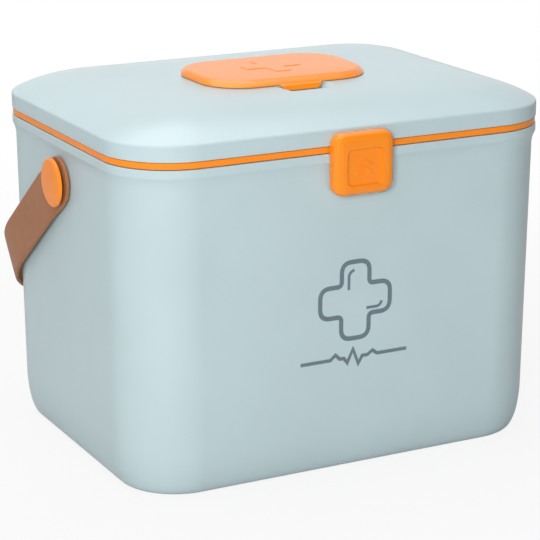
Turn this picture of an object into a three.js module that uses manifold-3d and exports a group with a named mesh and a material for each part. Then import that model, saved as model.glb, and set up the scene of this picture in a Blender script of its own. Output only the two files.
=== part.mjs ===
// A portable medicine chest: a moulded case with a crowned lid, a flip latch on the front,
// a small hatch over a bin in the lid, a lift-out tray and a carrying strap that turns on two
// round side buttons.
// Millimetres, +Z up, front towards -Y, origin at the centre of the base's underside.
import * as THREE from 'three';
import { mergeVertices } from 'three/addons/utils/BufferGeometryUtils.js';
import Module from 'manifold-3d';

const wasm = await Module();
wasm.setup();

// Clearances shared by several pieces
const seatGap = 0.3;
const runningGap = 0.35;
const overrun = 5;

// Case
const caseWidth = 300;
const caseDepth = 230;
const cornerRadius = 45;
const wallCornerRadius = 43.5;
const rimTop = 207;
const rimFace = 3.5;
const coveHeight = 5.5;
const rimStep = 2;
const wallTaper = 1.7;
const wallThickness = 2.6;
const floorThickness = 3;
const footHeight = 30;
const footInset = 7.3;

// Band on the rim
const bandHeight = 4.1;
const bandSetback = 0.15;
const tongueHeight = 4.5;
const tongueThickness = 1.5;
const tongueGap = 0.6;

// Lid
const lidSide = 9.8;
const lidCrown = 13.5;
const crownReach = 75;
const crownPower = 3;
const crownRadiusShare = 0.35;
const lidWall = 2.4;

// Lid hinges
const hingeFromCorner = 20;
const hingeRadius = 4.4;
const hingeStandoff = 5.2;
const hingePinRadius = 1.6;
const lidKnuckle = 12;
const caseKnuckle = 8;
const hingeGusset = 11;

// Hatch, its tab and its hinge
const hatchWidth = 113;
const hatchDepth = 78;
const hatchForward = 1.5;
const hatchCornerRadius = 27.5;
const hatchHeight = 4.8;
const hatchDome = 0.8;
const hatchDomeInset = 18;
const hatchWall = 1.8;
const hatchRollIn = 4.5;
const hatchRollUp = 3.4;
const tabWidth = 29.2;
const tabTipWidth = 20.6;
const tabRise = 1.9;
const tabDrop = 3.4;
const tabReach = 3.4;
const tabThickness = 2.2;
const scoopWidth = 31.4;
const scoopTipWidth = 25;
const scoopLean = 3.6;
const scoopDepth = 3.8;
const scoopRun = 14;
const scoopWall = 2;
const hatchBarrel = 1.5;
const hatchPinRadius = 0.6;
const hatchKnuckle = 28;
const hatchEar = 5;

// Bin under the hatch
const binWidth = 94;
const binDepth = 62;
const binCornerRadius = 20;
const binWall = 1.5;
const binDrop = 19;
const binFlange = 1.2;
const flangeGap = 0.8;
const binDraft = 1.5;

// Latch
const latchWidth = 40.5;
const latchHeight = 38.3;
const latchCornerRadius = 8;
const latchBelowCrease = 1.5;
const latchProud = 8.9;
const latchBackGap = 0.4;
const latchSideWall = 2.2;
const latchFrontWall = 2.6;
const pinGrip = 2.2;
const latchBevel = 2.6;
const latchBevelDepth = 2.4;
const recessWidth = 25.2;
const recessHeight = 21.8;
const recessRadius = 4;
const recessDepth = 1.15;
const recessDrop = 1.4;
const recessDraft = 0.5;
const lugRadius = 2;
const latchPinRadius = 0.75;
const latchPivotOut = 2.4;
const neckTop = 0.5;
const catchWidth = 20;
const catchHeight = 8;
const catchProud = 3.6;
const catchFace = 2;
const catchAboveLatch = 6.5;
const lipWidth = 24;
const snapGap = 0.4;

// Strap, its buttons and their retainers
const strapWidth = 32.2;
const strapThickness = 3;
const strapEdge = 1;
const strapRestDegrees = 37.1;
const strapBendAcross = 45;
const strapBendAlong = 64;
const strapSideGap = 0.35;
const strapRestGap = 0.6;
const strapSetFrom = 4;
const buttonBelowCove = 2.9;
const buttonRadius = 15.6;
const buttonSide = 0.8;
const buttonEdge = 1.5;
const buttonDome = 0.7;
const shaftRadius = 5;
const shaftTail = 1.6;
const retainerRadius = 9;
const retainerThickness = 1.6;
const retainerGroove = 0.6;
const grooveGap = 0.15;

// Tray and its dividers
const trayHeight = 41;
const trayWall = 1.6;
const trayMargin = 5.3;
const trayDraft = 1;
const trayTopBelowRim = 4.5;
const ledgeReach = 9;
const ledgeLength = 40;
const ledgeSpacing = 120;
const ledgeThickness = 3;
const ledgeDrop = 14;
const dividerThickness = 1.6;
const dividerHeight = 30;
const dividerCorner = 6;
const gripThickness = 2.4;
const gripWidth = 96;
const gripRise = 14;
const gripSlotWidth = 72;
const gripSlotHeight = 16;
const gripBar = 6;
const dividerSpacing = 92;

// Fineness of round stretches, as counts
const cornerSteps = 8;
const footSteps = 5;
const coveSteps = 3;
const crownSteps = 7;
const bendSteps = 10;
const setSteps = 6;
const roundSteps = 28;
const smallRoundSteps = 16;
const edgeSteps = 3;

// Heights and places that follow from the sizes above
const coveBottom = rimTop - rimFace - coveHeight;
const bandBottom = rimTop + seatGap;
const bandTop = bandBottom + bandHeight;
const lidBottom = bandTop + seatGap;
const crease = lidBottom + lidSide;
const lidTop = crease + lidCrown;
const rimWidth = rimStep + wallThickness;
const innerRadius = wallCornerRadius - wallThickness;
const embed = wallThickness / 2;
const frontFace = -caseDepth / 2;
const backFace = caseDepth / 2;
const hingeSpacing = caseWidth - 2 * (cornerRadius + hingeFromCorner);
const hingeY = backFace + hingeStandoff;
const hingeZ = (bandBottom + bandTop) / 2;
const hatchBottom = lidTop + seatGap;
const hatchTop = hatchBottom + hatchHeight;
const hatchFront = -hatchForward - hatchDepth / 2;
const hatchBack = -hatchForward + hatchDepth / 2;
const hatchPinY = hatchBack + hatchBarrel + seatGap;
const hatchPinZ = hatchBottom + hatchBarrel;
const latchTop = crease - latchBelowCrease;
const latchBottom = latchTop - latchHeight;
const latchPivotY = frontFace - latchPivotOut;
const latchArc = latchPivotOut - seatGap;
const latchPivotZ = latchTop - latchArc;
const latchPocket = lugRadius + runningGap;
const lugHalf = latchWidth / 2 - latchCornerRadius;
const latchInside = frontFace - latchProud + latchFrontWall;
const pivotHeight = coveBottom - buttonBelowCove - buttonRadius;
const strapEndMiddle = caseWidth / 2 - rimStep + seatGap + strapThickness / 2;
const strapArmMiddle = caseWidth / 2 + strapSideGap + strapThickness / 2;
const strapOuter = strapArmMiddle + strapThickness / 2;
const ledgeTop = rimTop - trayTopBelowRim - trayHeight - seatGap;
const trayBottom = ledgeTop + seatGap;
const trayTop = trayBottom + trayHeight;
const trayFloor = trayBottom + trayWall;

// The wall's distance inside the rim's outline at a height
function wallInsetAt(height) {
  return rimStep + wallTaper * (1 - height / coveBottom);
}

// Colours and finishes
function finish(color, roughness, metalness = 0) {
  return new THREE.MeshStandardMaterial({ color, roughness, metalness });
}
const shellPlastic = finish(0xbccdd2, 0.35);
const orangePlastic = finish(0xf5913a, 0.35);
const strapPlastic = finish(0xa07660, 0.6);
const trayPlastic = finish(0xe6ecee, 0.4);
const pinSteel = finish(0xb9bcc0, 0.3, 1);

// Outlines, lofts and prisms

// Points round a rectangle with round corners, anticlockwise
function roundedOutline(halfAcross, halfUp, radius, steps = cornerSteps) {
  const bend = Math.min(radius, halfAcross, halfUp);
  const points = [];
  const corners = [[1, 1], [-1, 1], [-1, -1], [1, -1]];
  corners.forEach(([across, up], quarter) => {
    for (let step = 0; step <= steps; step++) {
      const angle = (quarter + step / steps) * Math.PI / 2;
      const x = across * (halfAcross - bend) + bend * Math.cos(angle);
      const y = up * (halfUp - bend) + bend * Math.sin(angle);
      points.push(new THREE.Vector2(x, y));
    }
  });
  return points;
}

// A rounded rectangle lying level at a height
function levelRing(z, halfX, halfY, radius) {
  return roundedOutline(halfX, halfY, radius).map((p) => new THREE.Vector3(p.x, p.y, z));
}

// The same, standing upright at a depth and centred at a height
function uprightRing(y, halfX, halfZ, radius, centreZ) {
  return roundedOutline(halfX, halfZ, radius).map((p) => new THREE.Vector3(p.x, y, centreZ + p.y));
}

// A closed skin through a chain of rings with the same number of points, capped at both ends
function loft(rings) {
  const count = rings[0].length;
  const positions = rings.flat().flatMap((p) => [p.x, p.y, p.z]);
  const index = [];
  for (let ring = 0; ring < rings.length - 1; ring++) {
    for (let i = 0; i < count; i++) {
      const a = ring * count + i;
      const b = ring * count + (i + 1) % count;
      index.push(a, b, b + count, a, b + count, a + count);
    }
  }
  const last = (rings.length - 1) * count;
  for (const [ring, first, reversed] of [[rings[0], 0, true], [rings.at(-1), last, false]]) {
    const centre = ring.reduce((sum, p) => sum.add(p), new THREE.Vector3()).divideScalar(count);
    const hub = positions.length / 3;
    positions.push(centre.x, centre.y, centre.z);
    for (let i = 0; i < count; i++) {
      const here = first + i;
      const next = first + (i + 1) % count;
      index.push(hub, reversed ? next : here, reversed ? here : next);
    }
  }
  const geometry = new THREE.BufferGeometry();
  geometry.setAttribute('position', new THREE.Float32BufferAttribute(positions, 3));
  geometry.setIndex(index);
  return geometry;
}

const axisX = new THREE.Vector3(1, 0, 0);
const axisY = new THREE.Vector3(0, 1, 0);
const axisZ = new THREE.Vector3(0, 0, 1);

// A prism along X from points given as [y, z]
function prismX(points, fromX, toX) {
  const shape = new THREE.Shape(points.map(([y, z]) => new THREE.Vector2(y, z)));
  const geometry = new THREE.ExtrudeGeometry(shape, { depth: toX - fromX, bevelEnabled: false });
  geometry.applyMatrix4(new THREE.Matrix4().makeBasis(axisY, axisZ, axisX));
  return geometry.translate(fromX, 0, 0);
}

// A prism along Y from a shape drawn as x, z
function prismY(shape, fromY, toY) {
  const geometry = new THREE.ExtrudeGeometry(shape, { depth: toY - fromY, bevelEnabled: false });
  geometry.applyMatrix4(new THREE.Matrix4().makeBasis(axisX, axisZ, axisY.clone().negate()));
  return geometry.translate(0, toY, 0);
}

// A round bar along X
function barX(radius, fromX, toX, y, z, steps = smallRoundSteps) {
  const geometry = new THREE.CylinderGeometry(radius, radius, toX - fromX, steps);
  return geometry.rotateZ(Math.PI / 2).translate((fromX + toX) / 2, y, z);
}

// A box given by its lowest and highest corners
function blockBetween(low, high) {
  const size = new THREE.Vector3().subVectors(high, low);
  const centre = new THREE.Vector3().addVectors(low, high).multiplyScalar(0.5);
  return new THREE.BoxGeometry(size.x, size.y, size.z).translate(centre.x, centre.y, centre.z);
}

// Boolean joins and cuts
function solidOf(geometry) {
  const bare = geometry.clone();
  bare.deleteAttribute('normal');
  bare.deleteAttribute('uv');
  const welded = mergeVertices(bare);
  const vertProperties = welded.attributes.position.array;
  const triVerts = new Uint32Array(welded.index.array);
  return new wasm.Manifold(new wasm.Mesh({ numProp: 3, vertProperties, triVerts }));
}

function shaped(base, joined = [], cut = []) {
  let solid = solidOf(base);
  for (const geometry of joined) {
    solid = solid.add(solidOf(geometry));
  }
  for (const geometry of cut) {
    solid = solid.subtract(solidOf(geometry));
  }
  const mesh = solid.getMesh();
  const result = new THREE.BufferGeometry();
  result.setAttribute('position', new THREE.Float32BufferAttribute(mesh.vertProperties, 3));
  result.setIndex(new THREE.Uint32BufferAttribute(mesh.triVerts, 1));
  return result;
}

function part(name, geometry, material) {
  geometry.computeVertexNormals();
  const mesh = new THREE.Mesh(geometry, material);
  mesh.name = name;
  return mesh;
}

// Case

function caseRing(z, inset, radius) {
  return levelRing(z, caseWidth / 2 - inset, caseDepth / 2 - inset, radius);
}

function quarterTurn(step, steps) {
  return step / steps * Math.PI / 2;
}

function caseSkin() {
  const rings = [];
  for (let step = 0; step <= footSteps; step++) {
    const turn = quarterTurn(step, footSteps);
    const z = footHeight * (1 - Math.cos(turn));
    rings.push(caseRing(z, wallInsetAt(z) + footInset * (1 - Math.sin(turn)), wallCornerRadius));
  }
  for (let step = 0; step <= coveSteps; step++) {
    const turn = quarterTurn(step, coveSteps);
    const radius = THREE.MathUtils.lerp(cornerRadius, wallCornerRadius, Math.cos(turn));
    rings.push(caseRing(coveBottom + coveHeight * Math.sin(turn), rimStep * Math.cos(turn), radius));
  }
  rings.push(caseRing(rimTop, 0, cornerRadius));
  rings.push(caseRing(rimTop, rimWidth, innerRadius));
  for (let step = footSteps; step >= 0; step--) {
    const turn = quarterTurn(step, footSteps);
    const z = floorThickness + (footHeight - floorThickness) * (1 - Math.cos(turn));
    const inset = wallInsetAt(z) + wallThickness + footInset * (1 - Math.sin(turn));
    rings.push(caseRing(z, inset, innerRadius));
  }
  return loft(rings);
}

// Places along X of a hinge's knuckles
function hingeSpans(side) {
  const centre = side * hingeSpacing / 2;
  const near = lidKnuckle / 2 + runningGap;
  const far = near + caseKnuckle;
  return {
    lid: [[centre - lidKnuckle / 2, centre + lidKnuckle / 2]],
    case: [[centre - far, centre - near], [centre + near, centre + far]],
    pin: [centre - far, centre + far],
  };
}

function caseKnuckles(side) {
  const root = backFace - embed;
  const gusset = [
    [root, rimTop - hingeGusset],
    [hingeY + hingeRadius, hingeZ],
    [hingeY - hingeRadius, hingeZ],
    [hingeY - hingeRadius, rimTop - seatGap],
    [root, rimTop - seatGap],
  ];
  return hingeSpans(side).case.flatMap(([from, to]) => [
    prismX(gusset, from, to),
    barX(hingeRadius, from, to, hingeY, hingeZ),
  ]);
}

function hingeBore(side) {
  const [from, to] = hingeSpans(side).pin;
  return barX(hingePinRadius + runningGap, from - overrun, to + overrun, hingeY, hingeZ);
}

// One of the four ledges that carry the tray, on the side given by sideX and sideY
function trayLedge(sideX, sideY) {
  const inner = caseWidth / 2 - wallInsetAt(ledgeTop) - wallThickness;
  const root = sideX * (inner + embed);
  const tip = sideX * (inner - ledgeReach);
  const shape = new THREE.Shape([
    new THREE.Vector2(root, ledgeTop),
    new THREE.Vector2(tip, ledgeTop),
    new THREE.Vector2(tip, ledgeTop - ledgeThickness),
    new THREE.Vector2(root, ledgeTop - ledgeDrop),
  ]);
  const centre = sideY * ledgeSpacing / 2;
  return prismY(shape, centre - ledgeLength / 2, centre + ledgeLength / 2);
}

// The catch on the front wall that the latch's lip snaps over
const catchBottom = latchBottom + catchAboveLatch;
const catchY = frontFace - catchProud;
function latchCatch() {
  const root = frontFace + rimStep + embed;
  const side = [
    [root, catchBottom],
    [root, catchBottom + catchHeight],
    [catchY, catchBottom + catchFace],
    [catchY, catchBottom],
  ];
  return prismX(side, -catchWidth / 2, catchWidth / 2);
}

// The holes for the shafts of the two buttons
function shaftHole() {
  const reach = caseWidth / 2 + overrun;
  return barX(shaftRadius + runningGap, -reach, reach, 0, pivotHeight, roundSteps);
}

function makeCaseBody() {
  const joined = [
    ...caseKnuckles(-1), ...caseKnuckles(1),
    trayLedge(-1, -1), trayLedge(1, -1), trayLedge(-1, 1), trayLedge(1, 1),
    latchCatch(),
  ];
  const cut = [hingeBore(-1), hingeBore(1), shaftHole()];
  return part('case_body', shaped(caseSkin(), joined, cut), shellPlastic);
}

function makeHingePin(side, name) {
  const [from, to] = hingeSpans(side).pin;
  return part(name, barX(hingePinRadius, from, to, hingeY, hingeZ), pinSteel);
}

// Band on the rim, with the tongue that centres the lid
function makeRimBand() {
  const tongueOuter = lidWall + tongueGap;
  const tongueInner = tongueOuter + tongueThickness;
  const bandInner = Math.max(rimWidth, tongueInner);
  const ring = (z, inset) => caseRing(z, inset, cornerRadius - inset);
  const outline = [
    [bandBottom, bandSetback],
    [bandTop, bandSetback],
    [bandTop, tongueOuter],
    [bandTop + tongueHeight, tongueOuter],
    [bandTop + tongueHeight, tongueInner],
    [bandTop, bandInner],
    [bandBottom, bandInner],
  ];
  return part('rim_band', hoop(outline.map(([z, inset]) => ring(z, inset))), orangePlastic);
}

// A closed hoop through rings that follow each other round and back to the first
function hoop(rings) {
  const count = rings[0].length;
  const positions = rings.flat().flatMap((p) => [p.x, p.y, p.z]);
  const index = [];
  rings.forEach((_, ring) => {
    const here = ring * count;
    const above = (ring + 1) % rings.length * count;
    for (let i = 0; i < count; i++) {
      const next = (i + 1) % count;
      index.push(here + i, here + next, above + next, here + i, above + next, above + i);
    }
  });
  const geometry = new THREE.BufferGeometry();
  geometry.setAttribute('position', new THREE.Float32BufferAttribute(positions, 3));
  geometry.setIndex(index);
  return geometry;
}

// Lid

// A level rounded rectangle centred under the hatch
function hatchRing(z, halfX, halfY, radius) {
  return levelRing(z, halfX, halfY, radius).map((p) => p.setY(p.y - hatchForward));
}

// The crown's height above the crease at a share of its reach inwards
function crownRise(share) {
  return lidCrown * (1 - (1 - share) ** crownPower);
}

function lidSkin() {
  const inside = [];
  const outside = [];
  for (let step = 0; step <= crownSteps; step++) {
    const share = step / crownSteps;
    const inset = share * crownReach;
    const radius = cornerRadius - crownRadiusShare * inset;
    outside.push(caseRing(crease + crownRise(share), inset, radius));
    const under = lidWall + share * (crownReach - lidWall);
    inside.push(caseRing(crease - lidWall + crownRise(share), under, radius - lidWall));
  }
  const skirt = [
    caseRing(lidBottom, lidWall, cornerRadius - lidWall),
    caseRing(lidBottom, 0, cornerRadius),
  ];
  return loft([...inside.reverse(), ...skirt, ...outside]);
}

function lidKnuckles(side) {
  const root = backFace - lidWall / 2;
  const arm = [
    [root, lidBottom + seatGap],
    [hingeY - hingeRadius, lidBottom + seatGap],
    [hingeY - hingeRadius, hingeZ],
    [hingeY + hingeRadius, hingeZ],
    [root, crease - seatGap],
  ];
  return hingeSpans(side).lid.flatMap(([from, to]) => [
    prismX(arm, from, to),
    barX(hingeRadius, from, to, hingeY, hingeZ),
  ]);
}

// The lug in front of the lid that the latch turns on: a barrel on a neck below its middle
function latchLug() {
  const neck = blockBetween(
    new THREE.Vector3(-lugHalf, latchPivotY, latchPivotZ - lugRadius),
    new THREE.Vector3(lugHalf, frontFace + lidWall / 2, latchPivotZ - neckTop),
  );
  return [neck, barX(lugRadius, -lugHalf, lugHalf, latchPivotY, latchPivotZ)];
}

// The two ears behind the hatch, with their feet in the lid's top
function hatchEars() {
  const near = hatchKnuckle / 2 + runningGap;
  return [[-near - hatchEar, -near], [near, near + hatchEar]].flatMap(([from, to]) => [
    blockBetween(
      new THREE.Vector3(from, hatchPinY, lidTop - lidWall / 2),
      new THREE.Vector3(to, hatchPinY + hatchBarrel, hatchPinZ),
    ),
    barX(hatchBarrel, from, to, hatchPinY, hatchPinZ),
  ]);
}

function hatchBore() {
  const reach = hatchKnuckle / 2 + runningGap + hatchEar + overrun;
  return barX(hatchPinRadius + runningGap, -reach, reach, hatchPinY, hatchPinZ);
}

function latchBore() {
  const reach = lugHalf + pinGrip + seatGap;
  return barX(latchPinRadius + runningGap, -reach, reach, latchPivotY, latchPivotZ);
}

// The finger scoop in front of the hatch: a wedge with leaning sides cut into the lid's top,
// with a pan of the same shape under it
function scoopWedge(margin, lift) {
  const lean = scoopLean / scoopDepth;
  const floor = lidTop - scoopDepth - margin;
  const back = hatchFront + hatchWall - seatGap + margin;
  const nearEnd = hatchFront - tabReach - tabThickness / 2;
  const farEnd = nearEnd - scoopRun - margin;
  const ring = (y, halfWidth, low) => {
    const lowHalf = halfWidth - lean * (lidTop - margin - low);
    const highHalf = halfWidth + lean * (lift + margin);
    return [
      new THREE.Vector3(-lowHalf, y, low),
      new THREE.Vector3(lowHalf, y, low),
      new THREE.Vector3(highHalf, y, lidTop + lift),
      new THREE.Vector3(-highHalf, y, lidTop + lift),
    ];
  };
  const half = scoopWidth / 2 + margin;
  const end = lidTop - margin - seatGap / 2;
  return loft([
    ring(back, half, floor),
    ring(nearEnd, half, floor),
    ring(farEnd, scoopTipWidth / 2 + margin, end),
  ]);
}

function makeLidShell() {
  const opening = loft([
    hatchRing(lidTop - binDrop, binWidth / 2, binDepth / 2, binCornerRadius),
    hatchRing(lidTop + overrun, binWidth / 2, binDepth / 2, binCornerRadius),
  ]);
  const pan = scoopWedge(scoopWall, -lidWall / 2);
  const joined = [...lidKnuckles(-1), ...lidKnuckles(1), ...latchLug(), ...hatchEars(), pan];
  const scoop = scoopWedge(0, overrun);
  const cut = [opening, scoop, hingeBore(-1), hingeBore(1), latchBore(), hatchBore()];
  return part('lid_shell', shaped(lidSkin(), joined, cut), shellPlastic);
}

// Bin: its flange lies on the lid's top, inside the hatch
function makeTopBin() {
  const ring = (z, inset, radius) => hatchRing(z, binWidth / 2 - inset, binDepth / 2 - inset, radius);
  const flangeInset = hatchWall + flangeGap;
  const flangeRing = (z) => hatchRing(
    z, hatchWidth / 2 - flangeInset, hatchDepth / 2 - flangeInset, hatchCornerRadius - flangeInset,
  );
  const bottom = lidTop - binDrop;
  const geometry = loft([
    ring(bottom, seatGap + binDraft, binCornerRadius - seatGap),
    ring(hatchBottom, seatGap, binCornerRadius - seatGap),
    flangeRing(hatchBottom),
    flangeRing(hatchBottom + binFlange),
    ring(hatchBottom + binFlange, seatGap + binWall, binCornerRadius - seatGap - binWall),
    ring(bottom + binWall, seatGap + binWall + binDraft, binCornerRadius - seatGap - binWall),
  ]);
  return part('top_bin', geometry, trayPlastic);
}

// Hatch

function hatchSkin() {
  const ring = (z, inset) => hatchRing(
    z, hatchWidth / 2 - inset, hatchDepth / 2 - inset, hatchCornerRadius - inset,
  );
  const shoulder = hatchBottom + hatchHeight - hatchDome;
  const rings = [ring(shoulder - hatchWall, hatchWall + seatGap), ring(hatchBottom, hatchWall)];
  rings.push(ring(hatchBottom, 0));
  for (let step = 0; step <= edgeSteps; step++) {
    const turn = quarterTurn(step, edgeSteps);
    const z = shoulder - hatchRollUp * (1 - Math.sin(turn));
    rings.push(ring(z, hatchRollIn * (1 - Math.cos(turn))));
  }
  rings.push(ring(hatchTop, hatchDomeInset));
  return loft(rings);
}

// The finger tab: a lip that hangs from the hatch's front edge into the scoop in the lid
function hatchTab() {
  const ring = (z, half, front) => [
    new THREE.Vector3(-half, front, z),
    new THREE.Vector3(half, front, z),
    new THREE.Vector3(half, front + tabThickness, z),
    new THREE.Vector3(-half, front + tabThickness, z),
  ];
  return loft([
    ring(hatchBottom - tabDrop, tabTipWidth / 2, hatchFront - tabReach),
    ring(hatchBottom, tabWidth / 2, hatchFront - tabReach / 2),
    ring(hatchBottom + tabRise, tabWidth / 2, hatchFront - seatGap),
  ]);
}

function makeHatch() {
  const knuckle = [
    blockBetween(
      new THREE.Vector3(-hatchKnuckle / 2, hatchBack - hatchWall / 2, hatchBottom),
      new THREE.Vector3(hatchKnuckle / 2, hatchPinY, hatchPinZ),
    ),
    barX(hatchBarrel, -hatchKnuckle / 2, hatchKnuckle / 2, hatchPinY, hatchPinZ),
  ];
  return part('hatch', shaped(hatchSkin(), [hatchTab(), ...knuckle], [hatchBore()]), orangePlastic);
}

function makeHatchPin() {
  const reach = hatchKnuckle / 2 + runningGap + hatchEar;
  return part('hatch_pin', barX(hatchPinRadius, -reach, reach, hatchPinY, hatchPinZ), pinSteel);
}

// Latch

function latchSkin() {
  const back = frontFace - latchBackGap;
  const face = frontFace - latchProud;
  const centre = (latchTop + latchBottom) / 2;
  const ring = (y, inset) => uprightRing(
    y, latchWidth / 2 - inset, latchHeight / 2 - inset, latchCornerRadius - inset, centre,
  );
  const recess = (y, inset) => uprightRing(
    y, recessWidth / 2 - inset, recessHeight / 2 - inset, recessRadius - inset, centre - recessDrop,
  );
  return loft([
    ring(back, 0),
    ring(face + latchBevelDepth, 0),
    ring(face, latchBevel),
    recess(face, 0),
    recess(face + recessDepth, recessDraft),
  ]);
}

// The pocket behind the latch's face, open at the back
function latchPocketCut() {
  const half = latchWidth / 2 - latchSideWall;
  return blockBetween(
    new THREE.Vector3(-half, latchInside, latchBottom + latchSideWall),
    new THREE.Vector3(half, frontFace + overrun, latchPivotZ - latchPocket),
  );
}

// The room round the lug above that pocket, open at the back and the top
function latchLugCut() {
  const farY = frontFace + overrun;
  const points = [[farY, latchPivotZ - latchPocket - seatGap]];
  points.push([latchPivotY - latchPocket, latchPivotZ - latchPocket - seatGap]);
  for (let step = 0; step <= edgeSteps; step++) {
    const turn = quarterTurn(step, edgeSteps);
    const y = latchPivotY - latchPocket * Math.cos(turn);
    points.push([y, latchPivotZ + latchPocket * Math.sin(turn)]);
  }
  points.push([latchPivotY, latchTop + overrun], [farY, latchTop + overrun]);
  return prismX(points.reverse(), -lugHalf - runningGap, lugHalf + runningGap);
}

// What the latch's top back edge loses, so that it turns past the lid
function latchCornerCut() {
  const reach = latchWidth / 2 + overrun;
  const far = latchArc + overrun;
  const points = [[latchPivotY + far, latchPivotZ], [latchPivotY + far, latchPivotZ + far]];
  points.push([latchPivotY, latchPivotZ + far]);
  for (let step = 0; step <= cornerSteps; step++) {
    const turn = quarterTurn(step, cornerSteps);
    const y = latchPivotY + latchArc * Math.sin(turn);
    points.push([y, latchPivotZ + latchArc * Math.cos(turn)]);
  }
  return prismX(points, -reach, reach);
}

function makeLatch() {
  const lip = blockBetween(
    new THREE.Vector3(-lipWidth / 2, latchInside - seatGap, latchBottom + latchSideWall - seatGap),
    new THREE.Vector3(lipWidth / 2, catchY - snapGap, catchBottom - seatGap),
  );
  const cuts = [latchPocketCut(), latchLugCut(), latchCornerCut(), latchBore()];
  const hollow = shaped(latchSkin(), [], cuts);
  return part('latch', shaped(hollow, [lip]), orangePlastic);
}

function makeLatchPin() {
  const reach = lugHalf + pinGrip;
  return part('latch_pin', barX(latchPinRadius, -reach, reach, latchPivotY, latchPivotZ), pinSteel);
}

// Strap: built lying along +Y from its pivot at the origin, then turned down to its rest

const restAngle = THREE.MathUtils.degToRad(strapRestDegrees);

// How far the crossbar's inner face lies from the pivot, so that its lower edge meets the back
// wall, which leans in by the wall's taper
function strapReach() {
  const lean = wallTaper / coveBottom;
  const halfWidth = strapWidth / 2;
  const wallAtCove = backFace - rimStep + strapRestGap;
  const drop = coveBottom - pivotHeight + Math.cos(restAngle) * halfWidth;
  const along = Math.cos(restAngle) + lean * Math.sin(restAngle);
  return (wallAtCove + Math.sin(restAngle) * halfWidth - lean * drop) / along;
}

// The strap's centre line in its own plane, as places with the outward direction at each: flat
// beside the case's wall at the button, set outwards to pass the rim, then round to the crossbar
function strapPath() {
  const across = strapBendAcross - strapThickness / 2;
  const along = strapBendAlong - strapThickness / 2;
  const centreX = strapArmMiddle - across;
  const centreY = strapReach() + strapThickness / 2 - along;
  const setTo = rimTop - rimFace - pivotHeight;
  const half = [{ at: [strapEndMiddle, 0], out: [1, 0] }];
  for (let step = 0; step <= setSteps; step++) {
    const share = (1 - Math.cos(step / setSteps * Math.PI)) / 2;
    const x = THREE.MathUtils.lerp(strapEndMiddle, strapArmMiddle, share);
    const y = THREE.MathUtils.lerp(strapSetFrom, setTo, step / setSteps);
    half.push({ at: [x, y], out: [1, 0] });
  }
  for (let step = 0; step <= bendSteps; step++) {
    const turn = quarterTurn(step, bendSteps);
    const normal = new THREE.Vector2(Math.cos(turn) / across, Math.sin(turn) / along).normalize();
    const at = [centreX + across * Math.cos(turn), centreY + along * Math.sin(turn)];
    half.push({ at, out: [normal.x, normal.y] });
  }
  const mirrored = half.map(({ at, out }) => ({ at: [-at[0], at[1]], out: [-out[0], out[1]] }));
  return [...half, ...mirrored.reverse()];
}

function strapBand() {
  const section = roundedOutline(strapThickness / 2, strapWidth / 2, strapEdge, edgeSteps);
  const rings = strapPath().map(({ at, out }) => section.map((p) => new THREE.Vector3(
    at[0] + out[0] * p.x, at[1] + out[1] * p.x, p.y,
  )));
  return loft(rings.reverse());
}

// A round strap end with the same soft edges as the band
function strapEnd(side) {
  const half = strapThickness / 2;
  const rim = strapWidth / 2;
  const profile = [new THREE.Vector2(0, -half)];
  for (let step = 0; step <= edgeSteps; step++) {
    const turn = quarterTurn(step, edgeSteps);
    const across = rim - strapEdge * (1 - Math.sin(turn));
    profile.push(new THREE.Vector2(across, -half + strapEdge * (1 - Math.cos(turn))));
  }
  for (let step = edgeSteps; step >= 0; step--) {
    const turn = quarterTurn(step, edgeSteps);
    const across = rim - strapEdge * (1 - Math.sin(turn));
    profile.push(new THREE.Vector2(across, half - strapEdge * (1 - Math.cos(turn))));
  }
  profile.push(new THREE.Vector2(0, half));
  const geometry = new THREE.LatheGeometry(profile, roundSteps).rotateZ(Math.PI / 2);
  return geometry.translate(side * strapEndMiddle, 0, 0);
}

function makeHandleStrap() {
  const reach = strapOuter + overrun;
  const hole = barX(shaftRadius + runningGap, -reach, reach, 0, 0, roundSteps);
  const geometry = shaped(strapBand(), [strapEnd(-1), strapEnd(1)], [hole]);
  const mesh = part('handle_strap', geometry, strapPlastic);
  mesh.position.z = pivotHeight;
  mesh.rotation.x = -restAngle;
  return mesh;
}

// Button: a domed cap outside the strap, on a shaft with a groove inside the case for its ring

const wallInner = caseWidth / 2 - wallInsetAt(pivotHeight) - wallThickness;
const capInner = strapOuter + seatGap;
const retainerOuter = wallInner - seatGap;
const retainerInner = retainerOuter - retainerThickness;
const grooveRadius = shaftRadius - retainerGroove;

function makeButton(side, name) {
  const tail = retainerInner - seatGap - shaftTail;
  const profile = [
    [0, tail],
    [shaftRadius, tail],
    [shaftRadius, retainerInner - seatGap],
    [grooveRadius, retainerInner - seatGap],
    [grooveRadius, retainerOuter + grooveGap],
    [shaftRadius, retainerOuter + grooveGap],
    [shaftRadius, capInner],
    [buttonRadius, capInner],
  ].map(([across, along]) => new THREE.Vector2(across, along));
  for (let step = 0; step <= edgeSteps; step++) {
    const turn = quarterTurn(step, edgeSteps);
    const across = buttonRadius - buttonEdge * (1 - Math.cos(turn));
    profile.push(new THREE.Vector2(across, capInner + buttonSide + buttonEdge * Math.sin(turn)));
  }
  profile.push(new THREE.Vector2(0, capInner + buttonSide + buttonEdge + buttonDome));
  const geometry = new THREE.LatheGeometry(profile, roundSteps).rotateZ(-side * Math.PI / 2);
  return part(name, shaped(geometry).translate(0, 0, pivotHeight), orangePlastic);
}

function makeRetainer(side, name) {
  const ends = [side * retainerInner, side * retainerOuter].sort((a, b) => a - b);
  const disc = barX(retainerRadius, ends[0], ends[1], 0, pivotHeight, roundSteps);
  const hole = barX(
    grooveRadius + seatGap, ends[0] - overrun, ends[1] + overrun, 0, pivotHeight, roundSteps,
  );
  return part(name, shaped(disc, [], [hole]), pinSteel);
}

// Tray

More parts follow.
